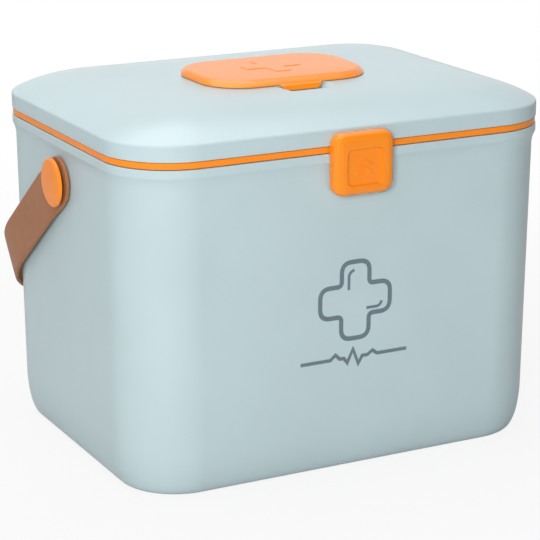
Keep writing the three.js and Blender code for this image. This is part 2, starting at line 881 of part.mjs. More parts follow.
const trayInset = wallInsetAt(ledgeTop) + wallThickness + trayMargin;
const trayHalfX = caseWidth / 2 - trayInset;
const trayHalfY = caseDepth / 2 - trayInset;
const trayRadius = innerRadius - trayMargin;

function makeTray() {
  const ring = (z, inset) => levelRing(z, trayHalfX - inset, trayHalfY - inset, trayRadius - inset);
  const geometry = loft([
    ring(trayBottom, trayDraft),
    ring(trayTop, 0),
    ring(trayTop, trayWall),
    ring(trayFloor, trayWall + trayDraft),
  ]);
  return part('tray', geometry, trayPlastic);
}

// Clear length inside the tray, near its floor
const cellHalfX = trayHalfX - trayWall - trayDraft - seatGap;
const cellHalfY = trayHalfY - trayWall - trayDraft - seatGap;
const dividerBottom = trayFloor + seatGap;

// The tray's long divider, which rises to a carrying grip with a finger slot
function makeTrayGrip() {
  const top = dividerBottom + dividerHeight;
  const gripTop = top + gripRise;
  const shape = new THREE.Shape([
    new THREE.Vector2(-cellHalfX, dividerBottom),
    new THREE.Vector2(cellHalfX, dividerBottom),
    new THREE.Vector2(cellHalfX, top - dividerCorner),
    new THREE.Vector2(cellHalfX - dividerCorner, top),
    new THREE.Vector2(gripWidth / 2 + gripRise, top),
    new THREE.Vector2(gripWidth / 2, gripTop),
    new THREE.Vector2(-gripWidth / 2, gripTop),
    new THREE.Vector2(-gripWidth / 2 - gripRise, top),
    new THREE.Vector2(-cellHalfX + dividerCorner, top),
    new THREE.Vector2(-cellHalfX, top - dividerCorner),
  ]);
  const slotCentre = gripTop - gripBar - gripSlotHeight / 2;
  const slot = roundedOutline(gripSlotWidth / 2, gripSlotHeight / 2, gripSlotHeight / 2, edgeSteps);
  shape.holes.push(new THREE.Path(slot.map((p) => new THREE.Vector2(p.x, p.y + slotCentre)).reverse()));
  const geometry = prismY(shape, -gripThickness / 2, gripThickness / 2);
  return part('tray_grip', shaped(geometry), trayPlastic);
}

// A short divider at x, from the grip's divider to the tray's front or back wall
function makeDivider(name, x, sideY) {
  const near = sideY * (gripThickness / 2 + seatGap);
  const far = sideY * cellHalfY;
  const top = dividerBottom + dividerHeight;
  const points = [
    [near, dividerBottom],
    [far, dividerBottom],
    [far, top - dividerCorner],
    [far - sideY * dividerCorner, top],
    [near, top],
  ];
  const geometry = prismX(points, x - dividerThickness / 2, x + dividerThickness / 2);
  return part(name, geometry, trayPlastic);
}

const chest = new THREE.Group();
chest.add(
  makeCaseBody(),
  makeRimBand(),
  makeHingePin(-1, 'hinge_pin_left'),
  makeHingePin(1, 'hinge_pin_right'),
  makeButton(-1, 'handle_button_left'),
  makeButton(1, 'handle_button_right'),
  makeRetainer(-1, 'handle_retainer_left'),
  makeRetainer(1, 'handle_retainer_right'),
  makeTray(),
  makeTrayGrip(),
  makeDivider('tray_divider_front_left', -dividerSpacing / 2, -1),
  makeDivider('tray_divider_front_right', dividerSpacing / 2, -1),
  makeDivider('tray_divider_back', dividerSpacing / 2, 1),
  makeLidShell(),
  makeTopBin(),
  makeHatch(),
  makeHatchPin(),
  makeLatch(),
  makeLatchPin(),
  makeHandleStrap(),
);

export default chest;
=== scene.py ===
import math

import bmesh
import bpy
from mathutils import Matrix, Vector


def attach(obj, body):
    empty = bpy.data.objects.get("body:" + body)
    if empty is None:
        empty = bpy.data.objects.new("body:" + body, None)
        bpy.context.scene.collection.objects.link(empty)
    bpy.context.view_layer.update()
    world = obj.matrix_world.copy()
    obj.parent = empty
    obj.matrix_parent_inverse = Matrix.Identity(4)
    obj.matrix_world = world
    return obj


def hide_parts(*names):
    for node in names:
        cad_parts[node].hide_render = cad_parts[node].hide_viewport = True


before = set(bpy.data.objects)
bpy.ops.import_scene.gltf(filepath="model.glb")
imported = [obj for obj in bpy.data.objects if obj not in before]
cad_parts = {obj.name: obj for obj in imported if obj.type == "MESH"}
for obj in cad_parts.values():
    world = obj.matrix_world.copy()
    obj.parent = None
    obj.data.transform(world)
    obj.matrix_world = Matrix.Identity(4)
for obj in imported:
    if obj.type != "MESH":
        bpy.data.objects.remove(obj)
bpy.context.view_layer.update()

MM = 0.001
SIDES = (-1, 1)
NAMED_SIDES = ((-1, "left"), (1, "right"))
WHITE = (1, 1, 1, 1)

# Camera, first of all: it stands where the photograph was taken from

CAMERA_LENS = 138.84
CAMERA_SENSOR = 36
CAMERA_NEAR, CAMERA_FAR = 0.05, 50  # metres
CAMERA_PLACE = (-0.61551, -1.18284, 0.49116)  # metres
CAMERA_AZIMUTH = math.radians(-27.4517)
CAMERA_ELEVATION = math.radians(16.2774)


def make_camera():
    data = bpy.data.cameras.new("camera")
    data.lens = CAMERA_LENS
    data.sensor_width = CAMERA_SENSOR
    data.sensor_fit = "HORIZONTAL"
    data.clip_start = CAMERA_NEAR
    data.clip_end = CAMERA_FAR
    camera = bpy.data.objects.new("camera", data)
    bpy.context.scene.collection.objects.link(camera)
    back = Vector((math.sin(CAMERA_AZIMUTH) * math.cos(CAMERA_ELEVATION),
                   -math.cos(CAMERA_AZIMUTH) * math.cos(CAMERA_ELEVATION),
                   math.sin(CAMERA_ELEVATION)))
    right = Vector((math.cos(CAMERA_AZIMUTH), math.sin(CAMERA_AZIMUTH), 0))
    turn = Matrix((right, back.cross(right), back)).transposed().to_4x4()
    camera.matrix_world = Matrix.Translation(CAMERA_PLACE) @ turn
    bpy.context.scene.camera = camera


make_camera()

# Shared sizes of the chest. An inset is a distance inside the rim's outline, seen from above.

HALF_X = 150
HALF_Y = 115
CORNER = 45
WALL_CORNER = 43.5
WALL = 2.6
TAPER = 1.7
RIM_TOP = 207
RIM_STEP = 2
COVE_TOP = 202.1
COVE_BOTTOM = 193
HINGE = (120.2, 209.35)  # y, z
HINGE_X = 85
PIN_HOLE = 1.95
PIN_HOLE_SMALL = 0.95
LID_TOP = 235.0
LID_WALL = 2.4
OPENING_X = 47
OPENING_Y = 31
OPENING_CORNER = 20
SMALLEST_CORNER = 2
HATCH_SHIFT = -1.5
HATCH_HALF_X = 57.3
HATCH_HALF_Y = 39
HATCH_FRONT = HATCH_SHIFT - HATCH_HALF_Y
HATCH_PIN = (39.3, 236.8)  # y, z
LATCH_PIVOT = (-117.4, 217.9)  # y, z
LATCH_BORE = 1.1
PIVOT_Z = 179.5
SHAFT_HOLE = 5.35
SHAFT_HOLE_STEPS = 48

# Outlines and profiles


def lerp(a, b, t):
    return a + (b - a) * t


def between(start, end, parts):
    """The values that divide the way from start to end into equal parts."""
    return [lerp(start, end, step / parts) for step in range(1, parts)]


def quarter(steps):
    """Angles from 0 to a quarter turn."""
    return [step / steps * math.pi / 2 for step in range(steps + 1)]


def arc(centre, radius, start, end, steps=16):
    """Points on an arc, with its angles in degrees."""
    points = []
    for step in range(steps + 1):
        angle = math.radians(lerp(start, end, step / steps))
        points.append((centre[0] + radius * math.cos(angle), centre[1] + radius * math.sin(angle)))
    return points


def outline(half_x, half_y, radius, steps=14):
    """Points round a rectangle with round corners, anticlockwise."""
    radius = max(min(radius, half_x, half_y), 0.01)
    points = []
    for corner, (sx, sy) in enumerate([(1, 1), (-1, 1), (-1, -1), (1, -1)]):
        for step in range(steps + 1):
            angle = (corner + step / steps) * math.pi / 2
            points.append((sx * (half_x - radius) + radius * math.cos(angle),
                           sy * (half_y - radius) + radius * math.sin(angle)))
    return points


def softened(points, closed=False, steps=4):
    """A line of (a, b) or (a, b, radius) points, with its corners rounded by their radius."""
    longest = 0.48  # the most of a side that one rounding takes
    out = []
    count = len(points)
    for k, point in enumerate(points):
        here = Vector(point[:2])
        radius = point[2] if len(point) > 2 else 0
        if radius == 0 or (not closed and k in (0, count - 1)):
            out.append((here.x, here.y))
            continue
        before = Vector(points[k - 1][:2]) - here
        after = Vector(points[(k + 1) % count][:2]) - here
        reach = radius / math.tan(before.angle(after) / 2)
        reach = min(reach, longest * before.length, longest * after.length)
        first = here + before.normalized() * reach
        last = here + after.normalized() * reach
        for step in range(steps + 1):
            t = step / steps
            spot = first * (1 - t) ** 2 + here * 2 * t * (1 - t) + last * t ** 2
            out.append((spot.x, spot.y))
    return out


def plus_outline(arm, half, round_out, round_in):
    """A plus sign with rounded corners: half its length, and half the width of its arms."""
    points = []
    for turn in (0, math.pi / 2, math.pi, 3 * math.pi / 2):
        for across, up, radius in ((half, -half, round_in), (arm, -half, round_out),
                                   (arm, half, round_out)):
            points.append((across * math.cos(turn) - up * math.sin(turn),
                           across * math.sin(turn) + up * math.cos(turn), radius))
    return softened(points, closed=True, steps=6)


def wall_inset(z):
    """How far inside the rim the tapering wall is at a height."""
    return RIM_STEP + TAPER * (1 - z / COVE_BOTTOM)


def body_ring(z, inset, radius):
    return [(x, y, z) for x, y in outline(HALF_X - inset, HALF_Y - inset, radius, steps=18)]


def hatch_ring(z, half_x, half_y, radius, steps=16):
    return [(x, y + HATCH_SHIFT, z) for x, y in outline(half_x, half_y, radius, steps)]


def opening_ring(z, grow, corner=OPENING_CORNER, steps=16):
    """A ring like the lid's opening for the hatch, grown or shrunk."""
    radius = max(corner + grow, SMALLEST_CORNER)
    return hatch_ring(z, OPENING_X + grow, OPENING_Y + grow, radius, steps)


# Meshes

WELD = 1e-7  # metres
DEGENERATE = 1e-8  # metres
SHARP = math.radians(38)
NORMAL_WEIGHT = 60  # over 50, large faces count for more


def mesh_object(name, verts, faces):
    mesh = bpy.data.meshes.new(name)
    mesh.from_pydata([Vector(v) * MM for v in verts], [], faces)
    work = bmesh.new()
    work.from_mesh(mesh)
    bmesh.ops.remove_doubles(work, verts=work.verts, dist=WELD)
    bmesh.ops.dissolve_degenerate(work, edges=work.edges, dist=DEGENERATE)
    bmesh.ops.recalc_face_normals(work, faces=work.faces)
    work.to_mesh(mesh)
    work.free()
    obj = bpy.data.objects.new(name, mesh)
    bpy.context.scene.collection.objects.link(obj)
    return obj


def skin(name, rings, closed=False):
    """A mesh through rings with the same number of points: capped, or closed into a hoop."""
    count = len(rings[0])
    verts = [point for ring in rings for point in ring]
    faces = []
    for k in range(len(rings) if closed else len(rings) - 1):
        a = k * count
        b = ((k + 1) % len(rings)) * count
        for i in range(count):
            j = (i + 1) % count
            faces.append((a + i, a + j, b + j, b + i))
    if not closed:
        faces.append(tuple(reversed(range(count))))
        faces.append(tuple(range((len(rings) - 1) * count, len(rings) * count)))
    return mesh_object(name, verts, faces)


def prism(name, points, low, high, axis="x"):
    """A prism along X from (y, z) points, or along Y from (x, z) points, or along Z from (x, y)."""
    place = {"x": lambda p, t: (t, p[0], p[1]),
             "y": lambda p, t: (p[0], t, p[1]),
             "z": lambda p, t: (p[0], p[1], t)}[axis]
    return skin(name, [[place(p, low) for p in points], [place(p, high) for p in points]])


def turned(profile, centre, steps=64, side=1):
    """Rings round an X axis at (y, z), through (distance along X, radius) points."""
    rings = []
    for along, radius in profile:
        rings.append([(side * along,
                       centre[0] + radius * math.cos(2 * math.pi * k / steps),
                       centre[1] + radius * math.sin(2 * math.pi * k / steps))
                      for k in range(steps)])
    return rings


def bore(name, radius, reach, centre, middle=0, steps=32):
    """A round tool along X for a hole, as far each way from its middle as it reaches."""
    ends = [(middle - reach, radius), (middle + reach, radius)]
    return skin(name, turned(ends, centre, steps))


def settle(obj):
    """Puts what an object's modifiers make into its mesh."""
    bpy.context.view_layer.update()
    graph = bpy.context.evaluated_depsgraph_get()
    mesh = bpy.data.meshes.new_from_object(obj.evaluated_get(graph))
    obj.modifiers.clear()
    obj.data = mesh
    return obj


def combine(obj, tools, operation):
    for tool in tools:
        step = obj.modifiers.new("shape", "BOOLEAN")
        step.operation = operation
        step.solver = "MANIFOLD"
        step.object = tool
        settle(obj)
        bpy.data.objects.remove(tool)
    return obj


def bevelled(obj, width, segments=2, limit=40):
    """Rounds the edges whose faces meet at more than the limit, in degrees."""
    step = obj.modifiers.new("edges", "BEVEL")
    step.width = width * MM
    step.segments = segments
    step.limit_method = "ANGLE"
    step.angle_limit = math.radians(limit)
    step.use_clamp_overlap = True
    return settle(obj)


def dressed(obj, body, material, slot, *nodes):
    """Smooth shading, a material, a body to ride on, and the CAD nodes it stands for. The slot is
    not used.
    """
    mesh = obj.data
    mesh.shade_smooth()
    mesh.set_sharp_from_angle(angle=SHARP)
    weigh = obj.modifiers.new("normals", "WEIGHTED_NORMAL")
    weigh.keep_sharp = True
    weigh.weight = NORMAL_WEIGHT
    settle(obj)
    obj.data.materials.clear()
    obj.data.materials.append(material)
    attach(obj, body)
    if nodes:
        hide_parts(*nodes)
    return obj


# Materials

NOISE_LOW, NOISE_HIGH = 0.3, 0.7  # where most values of a noise lie


def linear(red, green, blue):
    """A colour of 0 to 255 values, as Blender's linear one."""
    def one(value):
        value = value / 255
        return value / 12.92 if value <= 0.04045 else ((value + 0.055) / 1.055) ** 2.4
    return (one(red), one(green), one(blue), 1)


def scaled(color, factor):
    return (min(color[0] * factor, 1), min(color[1] * factor, 1), min(color[2] * factor, 1), 1)


def grey(value):
    return (value, value, value, 1)


def map_range(tree, source, spans, smooth=False):
    """A source's range mapped to another: from low, from high, to low, to high."""
    node = tree.nodes.new("ShaderNodeMapRange")
    if smooth:
        node.interpolation_type = "SMOOTHSTEP"
    for key, value in zip(("From Min", "From Max", "To Min", "To Max"), spans):
        node.inputs[key].default_value = value
    tree.links.new(source, node.inputs["Value"])
    return node.outputs["Result"]


class Nodes:
    """A material's node tree, with short ways to add to it."""

    def __init__(self, name):
        self.material = bpy.data.materials.new(name)
        self.material.use_nodes = True
        self.tree = self.material.node_tree
        self.shader = self.tree.nodes["Principled BSDF"]
        self.place = self.add("ShaderNodeTexCoord").outputs["Object"]

    def add(self, kind, **values):
        node = self.tree.nodes.new(kind)
        for key, value in values.items():
            node.inputs[key].default_value = value
        return node

    def link(self, source, target):
        self.tree.links.new(source, target)

    def noise(self, size, detail=3.0, stretch=None):
        """Noise whose features are about size millimetres across."""
        node = self.add("ShaderNodeTexNoise", Scale=1 / (size * MM), Detail=detail, Roughness=0.55)
        place = self.place
        if stretch:
            mapping = self.add("ShaderNodeMapping", Scale=stretch)
            self.link(place, mapping.inputs["Vector"])
            place = mapping.outputs["Vector"]
        self.link(place, node.inputs["Vector"])
        return node.outputs["Fac"]

    def ramp(self, source, low, high):
        """A colour between two (position, colour) stops."""
        node = self.add("ShaderNodeValToRGB")
        for element, (position, color) in zip(node.color_ramp.elements, (low, high)):
            element.position = position
            element.color = color
        self.link(source, node.inputs["Fac"])
        return node.outputs["Color"]

    def tone(self, noise, dark, light):
        """A colour that follows a noise from dark to light."""
        return self.ramp(noise, (NOISE_LOW, dark), (NOISE_HIGH, light))

    def spread(self, noise, low, high):
        """A value that follows a noise from low to high."""
        return map_range(self.tree, noise, (NOISE_LOW, NOISE_HIGH, low, high))

    def bump(self, source, height, below=None):
        node = self.add("ShaderNodeBump", Strength=1.0, Distance=height * MM)
        self.link(source, node.inputs["Height"])
        if below:
            self.link(below, node.inputs["Normal"])
        return node.outputs["Normal"]

    def finish(self, tone, roughness, normal):
        """Joins the three to the shader, and gives the material."""
        self.link(tone, self.shader.inputs["Base Color"])
        self.link(roughness, self.shader.inputs["Roughness"])
        self.link(normal, self.shader.inputs["Normal"])
        return self.material


def moulded(name, color, rough, grain=0.8, grain_height=0.0022, shade=0.02):
    """Moulded plastic: a little tone from flow in the mould, a fine eroded grain, soft gloss."""
    flow_size, wear_size, wave_size, wave_height = 60, 30, 60, 0.03
    nodes = Nodes(name)
    flow = nodes.noise(flow_size, detail=2.0)
    tone = nodes.tone(flow, scaled(color, 1 - shade), scaled(color, 1 + shade))
    wear = nodes.noise(wear_size, detail=1.0)
    roughness = nodes.spread(wear, rough - 0.012, rough + 0.018)
    wave = nodes.bump(nodes.noise(wave_size, detail=1.0), wave_height)
    normal = nodes.bump(nodes.noise(grain, detail=2.0), grain_height, wave)
    nodes.shader.inputs["IOR"].default_value = 1.5
    return nodes.finish(tone, roughness, normal)


def strap_material():
    """Soft-touch polymer with a fine pebbled leather grain, and painted shade that darkens the
    hollows between its pebbles.
    """
    pebble_size, pebble_height, shade_reach, hollow_shade_grey = 0.9, 0.05, 0.12, 0.86
    wave_size, wave_height = 12, 0.06
    nodes = Nodes("strap_brown")
    color = linear(160, 104, 64)
    cells = nodes.add("ShaderNodeTexVoronoi", Scale=1 / (pebble_size * MM), Randomness=1.0)
    cells.feature = "DISTANCE_TO_EDGE"
    nodes.link(nodes.place, cells.inputs["Vector"])
    flow = nodes.tone(nodes.noise(22), scaled(color, 0.93), scaled(color, 1.06))
    # Painted shade: the colour grows darker towards the pebble cells' edges, where the grain's bump
    # makes hollows
    painted_hollow_shade = nodes.ramp(cells.outputs["Distance"], (0, grey(hollow_shade_grey)), (shade_reach, WHITE))
    mix = nodes.add("ShaderNodeMix")
    mix.data_type = "RGBA"
    mix.blend_type = "MULTIPLY"
    mix.inputs["Factor"].default_value = 1
    # The sockets called A and B are there once for each data type, and 6 and 7 are the colours'
    nodes.link(flow, mix.inputs[6])
    nodes.link(painted_hollow_shade, mix.inputs[7])
    roughness = nodes.spread(nodes.noise(7), 0.5, 0.6)
    wave = nodes.bump(nodes.noise(wave_size, detail=2.0), wave_height)
    normal = nodes.bump(cells.outputs["Distance"], pebble_height, wave)
    nodes.shader.inputs["Sheen Weight"].default_value = 0.04
    nodes.shader.inputs["Sheen Roughness"].default_value = 0.5
    return nodes.finish(mix.outputs[2], roughness, normal)


def steel_material():
    """Drawn steel: fine lines along X and small changes of gloss."""
    line_size, line_stretch, line_height = 0.25, (0.04, 1, 1), 0.012
    nodes = Nodes("pin_steel")
    nodes.shader.inputs["Metallic"].default_value = 1
    lines = nodes.noise(line_size, stretch=line_stretch)
    tone = nodes.tone(lines, linear(176, 179, 184), linear(206, 208, 211))
    roughness = nodes.spread(nodes.noise(3), 0.22, 0.38)
    return nodes.finish(tone, roughness, nodes.bump(lines, line_height))


def ink_material():
    """Pad-printed ink: slightly uneven cover and a matte surface."""
    cover_size, grain_size, grain_height = 1.6, 0.6, 0.008
    nodes = Nodes("print_slate")
    color = linear(104, 121, 129)
    cover = nodes.noise(cover_size, detail=4.0)
    tone = nodes.tone(cover, scaled(color, 0.94), scaled(color, 1.08))
    roughness = nodes.spread(nodes.noise(5, detail=2.0), 0.5, 0.62)
    normal = nodes.bump(nodes.noise(grain_size, detail=2.0), grain_height)
    return nodes.finish(tone, roughness, normal)


SHELL = moulded("shell_plastic", linear(186, 205, 209), rough=0.30)
ORANGE = moulded("orange_plastic", linear(250, 140, 20), rough=0.25,
                 grain=0.7, grain_height=0.0018, shade=0.015)
TRAY = moulded("tray_plastic", linear(228, 235, 238), rough=0.34,
               grain_height=0.002, shade=0.012)
STRAP = strap_material()
STEEL = steel_material()
INK = ink_material()

# Case

UNDERSIDE = [(24.5, 1.0), (23.4, 1.0, 0.4), (22.6, 0, 0.5)]  # inset, z, radius of its recess
FLOOR = 3
FOOT = 30
FOOT_INSET = 8.3
FOOT_STEPS = 14
WALL_PARTS = 6
COVE_STEPS = 12
COVE_POWER = 2.1
KNUCKLE = 4.4
KNUCKLE_STEPS = 24
KNUCKLE_EDGE = 0.45
KNUCKLE_ROOT = 113.6  # y inside the wall
KNUCKLE_FOOT = 196.5
KNUCKLE_SHELF = 206.7
CASE_KNUCKLES = ((-14.35, -6.35), (6.35, 14.35))  # along X, from a hinge's middle
LID_KNUCKLES = ((-6, 6),)
LEDGE_TOP, LEDGE_NOSE, LEDGE_FOOT = 161.2, 158.2, 147.2
LEDGE_WIDTH = 9
LEDGE_ROOT = 1.3
LEDGE_Y = 60
LEDGE_HALF = 20
CATCH = [(-111.7, 188.2), (-111.7, 196.2), (-118.6, 190.2), (-118.6, 188.2)]  # y, z
CATCH_HALF = 10


def case_profile():
    """The case's section as (inset, z) points: its outside upwards, and its inside downwards."""
    outside = list(UNDERSIDE)
    for turn in quarter(FOOT_STEPS):
        z = FOOT * (1 - math.cos(turn))
        outside.append((wall_inset(z) + FOOT_INSET * (1 - math.sin(turn)), z))
    outside.extend((wall_inset(z), z) for z in between(FOOT, COVE_BOTTOM, WALL_PARTS))
    for step in range(COVE_STEPS + 1):
        share = step / COVE_STEPS
        outside.append((RIM_STEP * (1 - share ** COVE_POWER), lerp(COVE_BOTTOM, COVE_TOP, share)))
    outside.extend([(0, RIM_TOP, 0.5), (RIM_STEP, RIM_TOP)])
    inside = [(RIM_STEP, RIM_TOP), (RIM_STEP + WALL, RIM_TOP, 0.5)]
    insets = between(RIM_STEP, wall_inset(FOOT), WALL_PARTS)
    for inset, z in zip(insets, between(RIM_TOP, FOOT, WALL_PARTS)):
        inside.append((inset + WALL, z))
    for turn in reversed(quarter(FOOT_STEPS)):
        z = FLOOR + (FOOT - FLOOR) * (1 - math.cos(turn))
        inside.append((wall_inset(z) + WALL + FOOT_INSET * (1 - math.sin(turn)), z))
    return softened(outside), softened(inside)


def outer_corner(inset, z):
    """The outside's corner radius: smaller where the foot curves in, larger up the cove."""
    if z <= COVE_BOTTOM:
        return WALL_CORNER - max(inset - wall_inset(z), 0)
    if z <= COVE_TOP:
        return lerp(WALL_CORNER, CORNER, 1 - inset / RIM_STEP)
    return CORNER - inset


def knuckles(name, shape, spans):
    """Copies of a (y, z) shape at both of the lid's hinges."""
    return [bevelled(prism(name, shape, side * HINGE_X + low, side * HINGE_X + high), KNUCKLE_EDGE)
            for side in SIDES for low, high in spans]


def hinge_bores(reach):
    return [bore("pin_hole", PIN_HOLE, reach, HINGE, side * HINGE_X) for side in SIDES]


def tray_ledge(side_x, side_y):
    wall = HALF_X - wall_inset(LEDGE_TOP) - WALL
    root, nose = side_x * (wall + LEDGE_ROOT), side_x * (wall - LEDGE_WIDTH)
    shape = [(root, LEDGE_TOP), (nose, LEDGE_TOP), (nose, LEDGE_NOSE), (root, LEDGE_FOOT)]
    middle = side_y * LEDGE_Y
    ledge = prism("ledge", shape, middle - LEDGE_HALF, middle + LEDGE_HALF, "y")
    return bevelled(ledge, 0.5)


def make_case():
    outside, inside = case_profile()
    rings = [body_ring(z, inset, outer_corner(inset, z)) for inset, z in outside]
    rings += [body_ring(z, inset, WALL_CORNER - WALL) for inset, z in inside[1:]]
    case = skin("case_shell", rings)
    knuckle = [(KNUCKLE_ROOT, KNUCKLE_FOOT)] + arc(HINGE, KNUCKLE, -42, 180, KNUCKLE_STEPS)
    knuckle += [(HINGE[0] - KNUCKLE, KNUCKLE_SHELF), (KNUCKLE_ROOT, KNUCKLE_SHELF)]
    joined = knuckles("knuckle", knuckle, CASE_KNUCKLES)
    joined += [tray_ledge(side_x, side_y) for side_x in SIDES for side_y in SIDES]
    joined.append(bevelled(prism("catch", CATCH, -CATCH_HALF, CATCH_HALF), 0.35, limit=30))
    combine(case, joined, "UNION")
    shaft = bore("shaft_hole", SHAFT_HOLE, 160, (0, PIVOT_Z), steps=SHAFT_HOLE_STEPS)
    combine(case, [shaft] + hinge_bores(20), "DIFFERENCE")
    return dressed(case, "case", SHELL, "shell", "case_body")


make_case()

# Orange band on the rim, with a tongue that goes up inside the lid

BAND_BOTTOM = 207.3
BAND_TOP = 211.4
BAND_FACE, BAND_CHAMFER, BAND_BACK = 0.5, 1.3, 4.6  # insets
TONGUE_FRONT, TONGUE_BACK = 3.0, 4.5  # insets
TONGUE_TOP = 215.9


def make_band():
    profile = [(BAND_CHAMFER, BAND_BOTTOM, 0.3), (BAND_FACE, BAND_BOTTOM + 0.3, 0.5),
               (BAND_FACE, BAND_TOP - 0.2, 0.5), (BAND_CHAMFER, BAND_TOP, 0.3),
               (TONGUE_FRONT, BAND_TOP, 0.15), (TONGUE_FRONT, TONGUE_TOP, 0.45),
               (TONGUE_BACK, TONGUE_TOP, 0.45), (BAND_BACK, BAND_TOP, 0.1),
               (BAND_BACK, BAND_BOTTOM, 0.4)]
    rings = [body_ring(z, inset, CORNER - inset) for inset, z in softened(profile, closed=True)]
    return dressed(skin("rim_strip", rings, closed=True), "case", ORANGE, "orange", "rim_band")


make_band()

# Lid with its opening, scoop, hinge arms and hatch ears

LID_BOTTOM = 211.7
LID_FOOT = 1.2  # inset where the lid's outside and inside meet
CREASE = 221.5
SHOULDER = 2.2  # rounding where the lid's side turns into its crown
SHOULDER_DROP = 3
CROWN = 13.5
CROWN_REACH = 75
CROWN_POWER = 3.6
CROWN_CORNER = 0.5  # how much a corner's radius shrinks for each millimetre inwards
CROWN_STEPS = 24
OPENING_EDGE = 6  # flat part of the lid round its opening
SCOOP_DEPTH = 3.8
SCOOP_END_DEPTH = 0.15
SCOOP_LEAN = 3.6 / 3.8
SCOOP_HALF, SCOOP_END_HALF = 18, 16
SCOOP_UNDER, SCOOP_FLAT, SCOOP_RAMP = 1.5, 4.5, 14  # lengths: under the hatch, flat, rising
PAN_WALL = 2
PAN_TOP = -1.2  # from the lid's top
ARM_ROOT = 113.8  # y inside the lid's side
ARM_TOP, ARM_BOTTOM = 221.0, 212.2
EAR = 1.5
EAR_FOOT = 233.8
EAR_SPANS = ((-19.35, -14.35), (14.35, 19.35))


def crown_rise(share):
    return CROWN * (1 - (1 - share) ** CROWN_POWER)


def lid_rings():
    outside = [(LID_FOOT, LID_BOTTOM), (0, LID_BOTTOM, 0.5), (0, CREASE, SHOULDER)]
    for step in range(1, CROWN_STEPS + 1):
        share = step / CROWN_STEPS
        outside.append((share * CROWN_REACH, CREASE + crown_rise(share)))
    rings = []
    for inset, z in softened(outside, steps=6):
        shrink = inset if z < CREASE - SHOULDER_DROP else CROWN_CORNER * inset
        rings.append(body_ring(z, inset, CORNER - shrink))
    ceiling = LID_TOP - LID_WALL
    edge = softened([(OPENING_EDGE, LID_TOP), (0, LID_TOP, 0.6), (0, ceiling, 0.5),
                     (OPENING_EDGE, ceiling)])
    rings += [opening_ring(z, grow, steps=18) for grow, z in edge]
    for step in range(CROWN_STEPS, -1, -1):
        share = step / CROWN_STEPS
        radius = max(CORNER - CROWN_CORNER * share * CROWN_REACH - LID_WALL, SMALLEST_CORNER)
        z = CREASE - LID_WALL + crown_rise(share)
        rings.append(body_ring(z, lerp(LID_WALL, CROWN_REACH, share), radius))
    side = softened([(LID_WALL, CREASE - LID_WALL), (LID_WALL, LID_BOTTOM, 0.5),
                     (LID_FOOT, LID_BOTTOM)])
    rings += [body_ring(z, inset, CORNER - inset) for inset, z in side[1:-1]]
    return rings


def scoop(name, margin, lift):
    """The finger scoop's wedge with leaning sides, or with a margin the pan under it."""
    floor = LID_TOP - SCOOP_DEPTH - margin
    near = HATCH_FRONT - SCOOP_FLAT

    def ring(y, half, low):
        low_half = half - SCOOP_LEAN * (LID_TOP - margin - low)
        high_half = half + SCOOP_LEAN * (lift + margin)
        return [(-low_half, y, low), (low_half, y, low),
                (high_half, y, LID_TOP + lift), (-high_half, y, LID_TOP + lift)]

    wide = SCOOP_HALF + margin
    return skin(name, [ring(HATCH_FRONT + SCOOP_UNDER + margin, wide, floor),
                       ring(near, wide, floor),
                       ring(near - SCOOP_RAMP - margin, SCOOP_END_HALF + margin,
                            LID_TOP - margin - SCOOP_END_DEPTH)])


def make_lid():
    lid = skin("lid_shell_fine", lid_rings(), closed=True)
    joined = [bevelled(scoop("pan", PAN_WALL, PAN_TOP), 0.8, limit=30)]
    arm = arc(HINGE, KNUCKLE, -180, 25, KNUCKLE_STEPS)
    arm += [(ARM_ROOT, ARM_TOP), (ARM_ROOT, ARM_BOTTOM), (HINGE[0] - KNUCKLE, ARM_BOTTOM)]
    joined += knuckles("arm", arm, LID_KNUCKLES)
    y = HATCH_PIN[0]
    ear = [(y + EAR, EAR_FOOT)] + arc(HATCH_PIN, EAR, 0, 180)
    ear += [(y - EAR, 236), (y - 0.2, EAR_FOOT)]
    joined += [bevelled(prism("ear", ear, low, high), 0.3) for low, high in EAR_SPANS]
    combine(lid, joined, "UNION")
    hollow = bevelled(scoop("scoop", 0, 5), 1.2, segments=4, limit=30)
    holes = [hollow, bore("ear_hole", PIN_HOLE_SMALL, 25, HATCH_PIN)] + hinge_bores(8)
    combine(lid, holes, "DIFFERENCE")
    return dressed(lid, "lid", SHELL, "shell", "lid_shell")


make_lid()

# The lug in front of the lid that the latch turns on

LUG = 2
LUG_HALF = 12.25
LUG_ROOT = -114.2  # y inside the lid's side
LUG_STEP = 0.5  # how far under the pivot its upper root lies


def make_lug():
    y, z = LATCH_PIVOT
    shape = arc(LATCH_PIVOT, LUG, 90, 290, steps=20)
    shape += [(LUG_ROOT, z - LUG), (LUG_ROOT, z - LUG_STEP), (y + 1.6, z - LUG_STEP)]
    shape += arc(LATCH_PIVOT, LUG, -14, 90, steps=8)[:-1]
    lug = bevelled(prism("latch_lug", shape, -LUG_HALF, LUG_HALF), 0.25, limit=50)
    combine(lug, [bore("lug_hole", LATCH_BORE, 20, LATCH_PIVOT)], "DIFFERENCE")
    return dressed(lug, "lid", ORANGE, "orange")


make_lug()

# Pins

HINGE_PIN_NEAR, HINGE_PIN_FAR = 70.45, 99.55
HINGE_PIN_RADIUS = 1.6
HATCH_PIN_HALF, HATCH_PIN_RADIUS = 19.3, 0.6
LATCH_PIN_HALF, LATCH_PIN_RADIUS = 14.4, 0.75
AXIS_RADIUS = 0.02  # of the point where a turned body ends on its axis


def make_pin(name, node, body, radius, low, high, centre):
    profile = softened([(low, AXIS_RADIUS), (low, radius, 0.35), (high, radius, 0.35),
                        (high, AXIS_RADIUS)])
    pin = skin(name, turned(profile, centre, steps=40))
    return dressed(pin, body, STEEL, "steel", node)


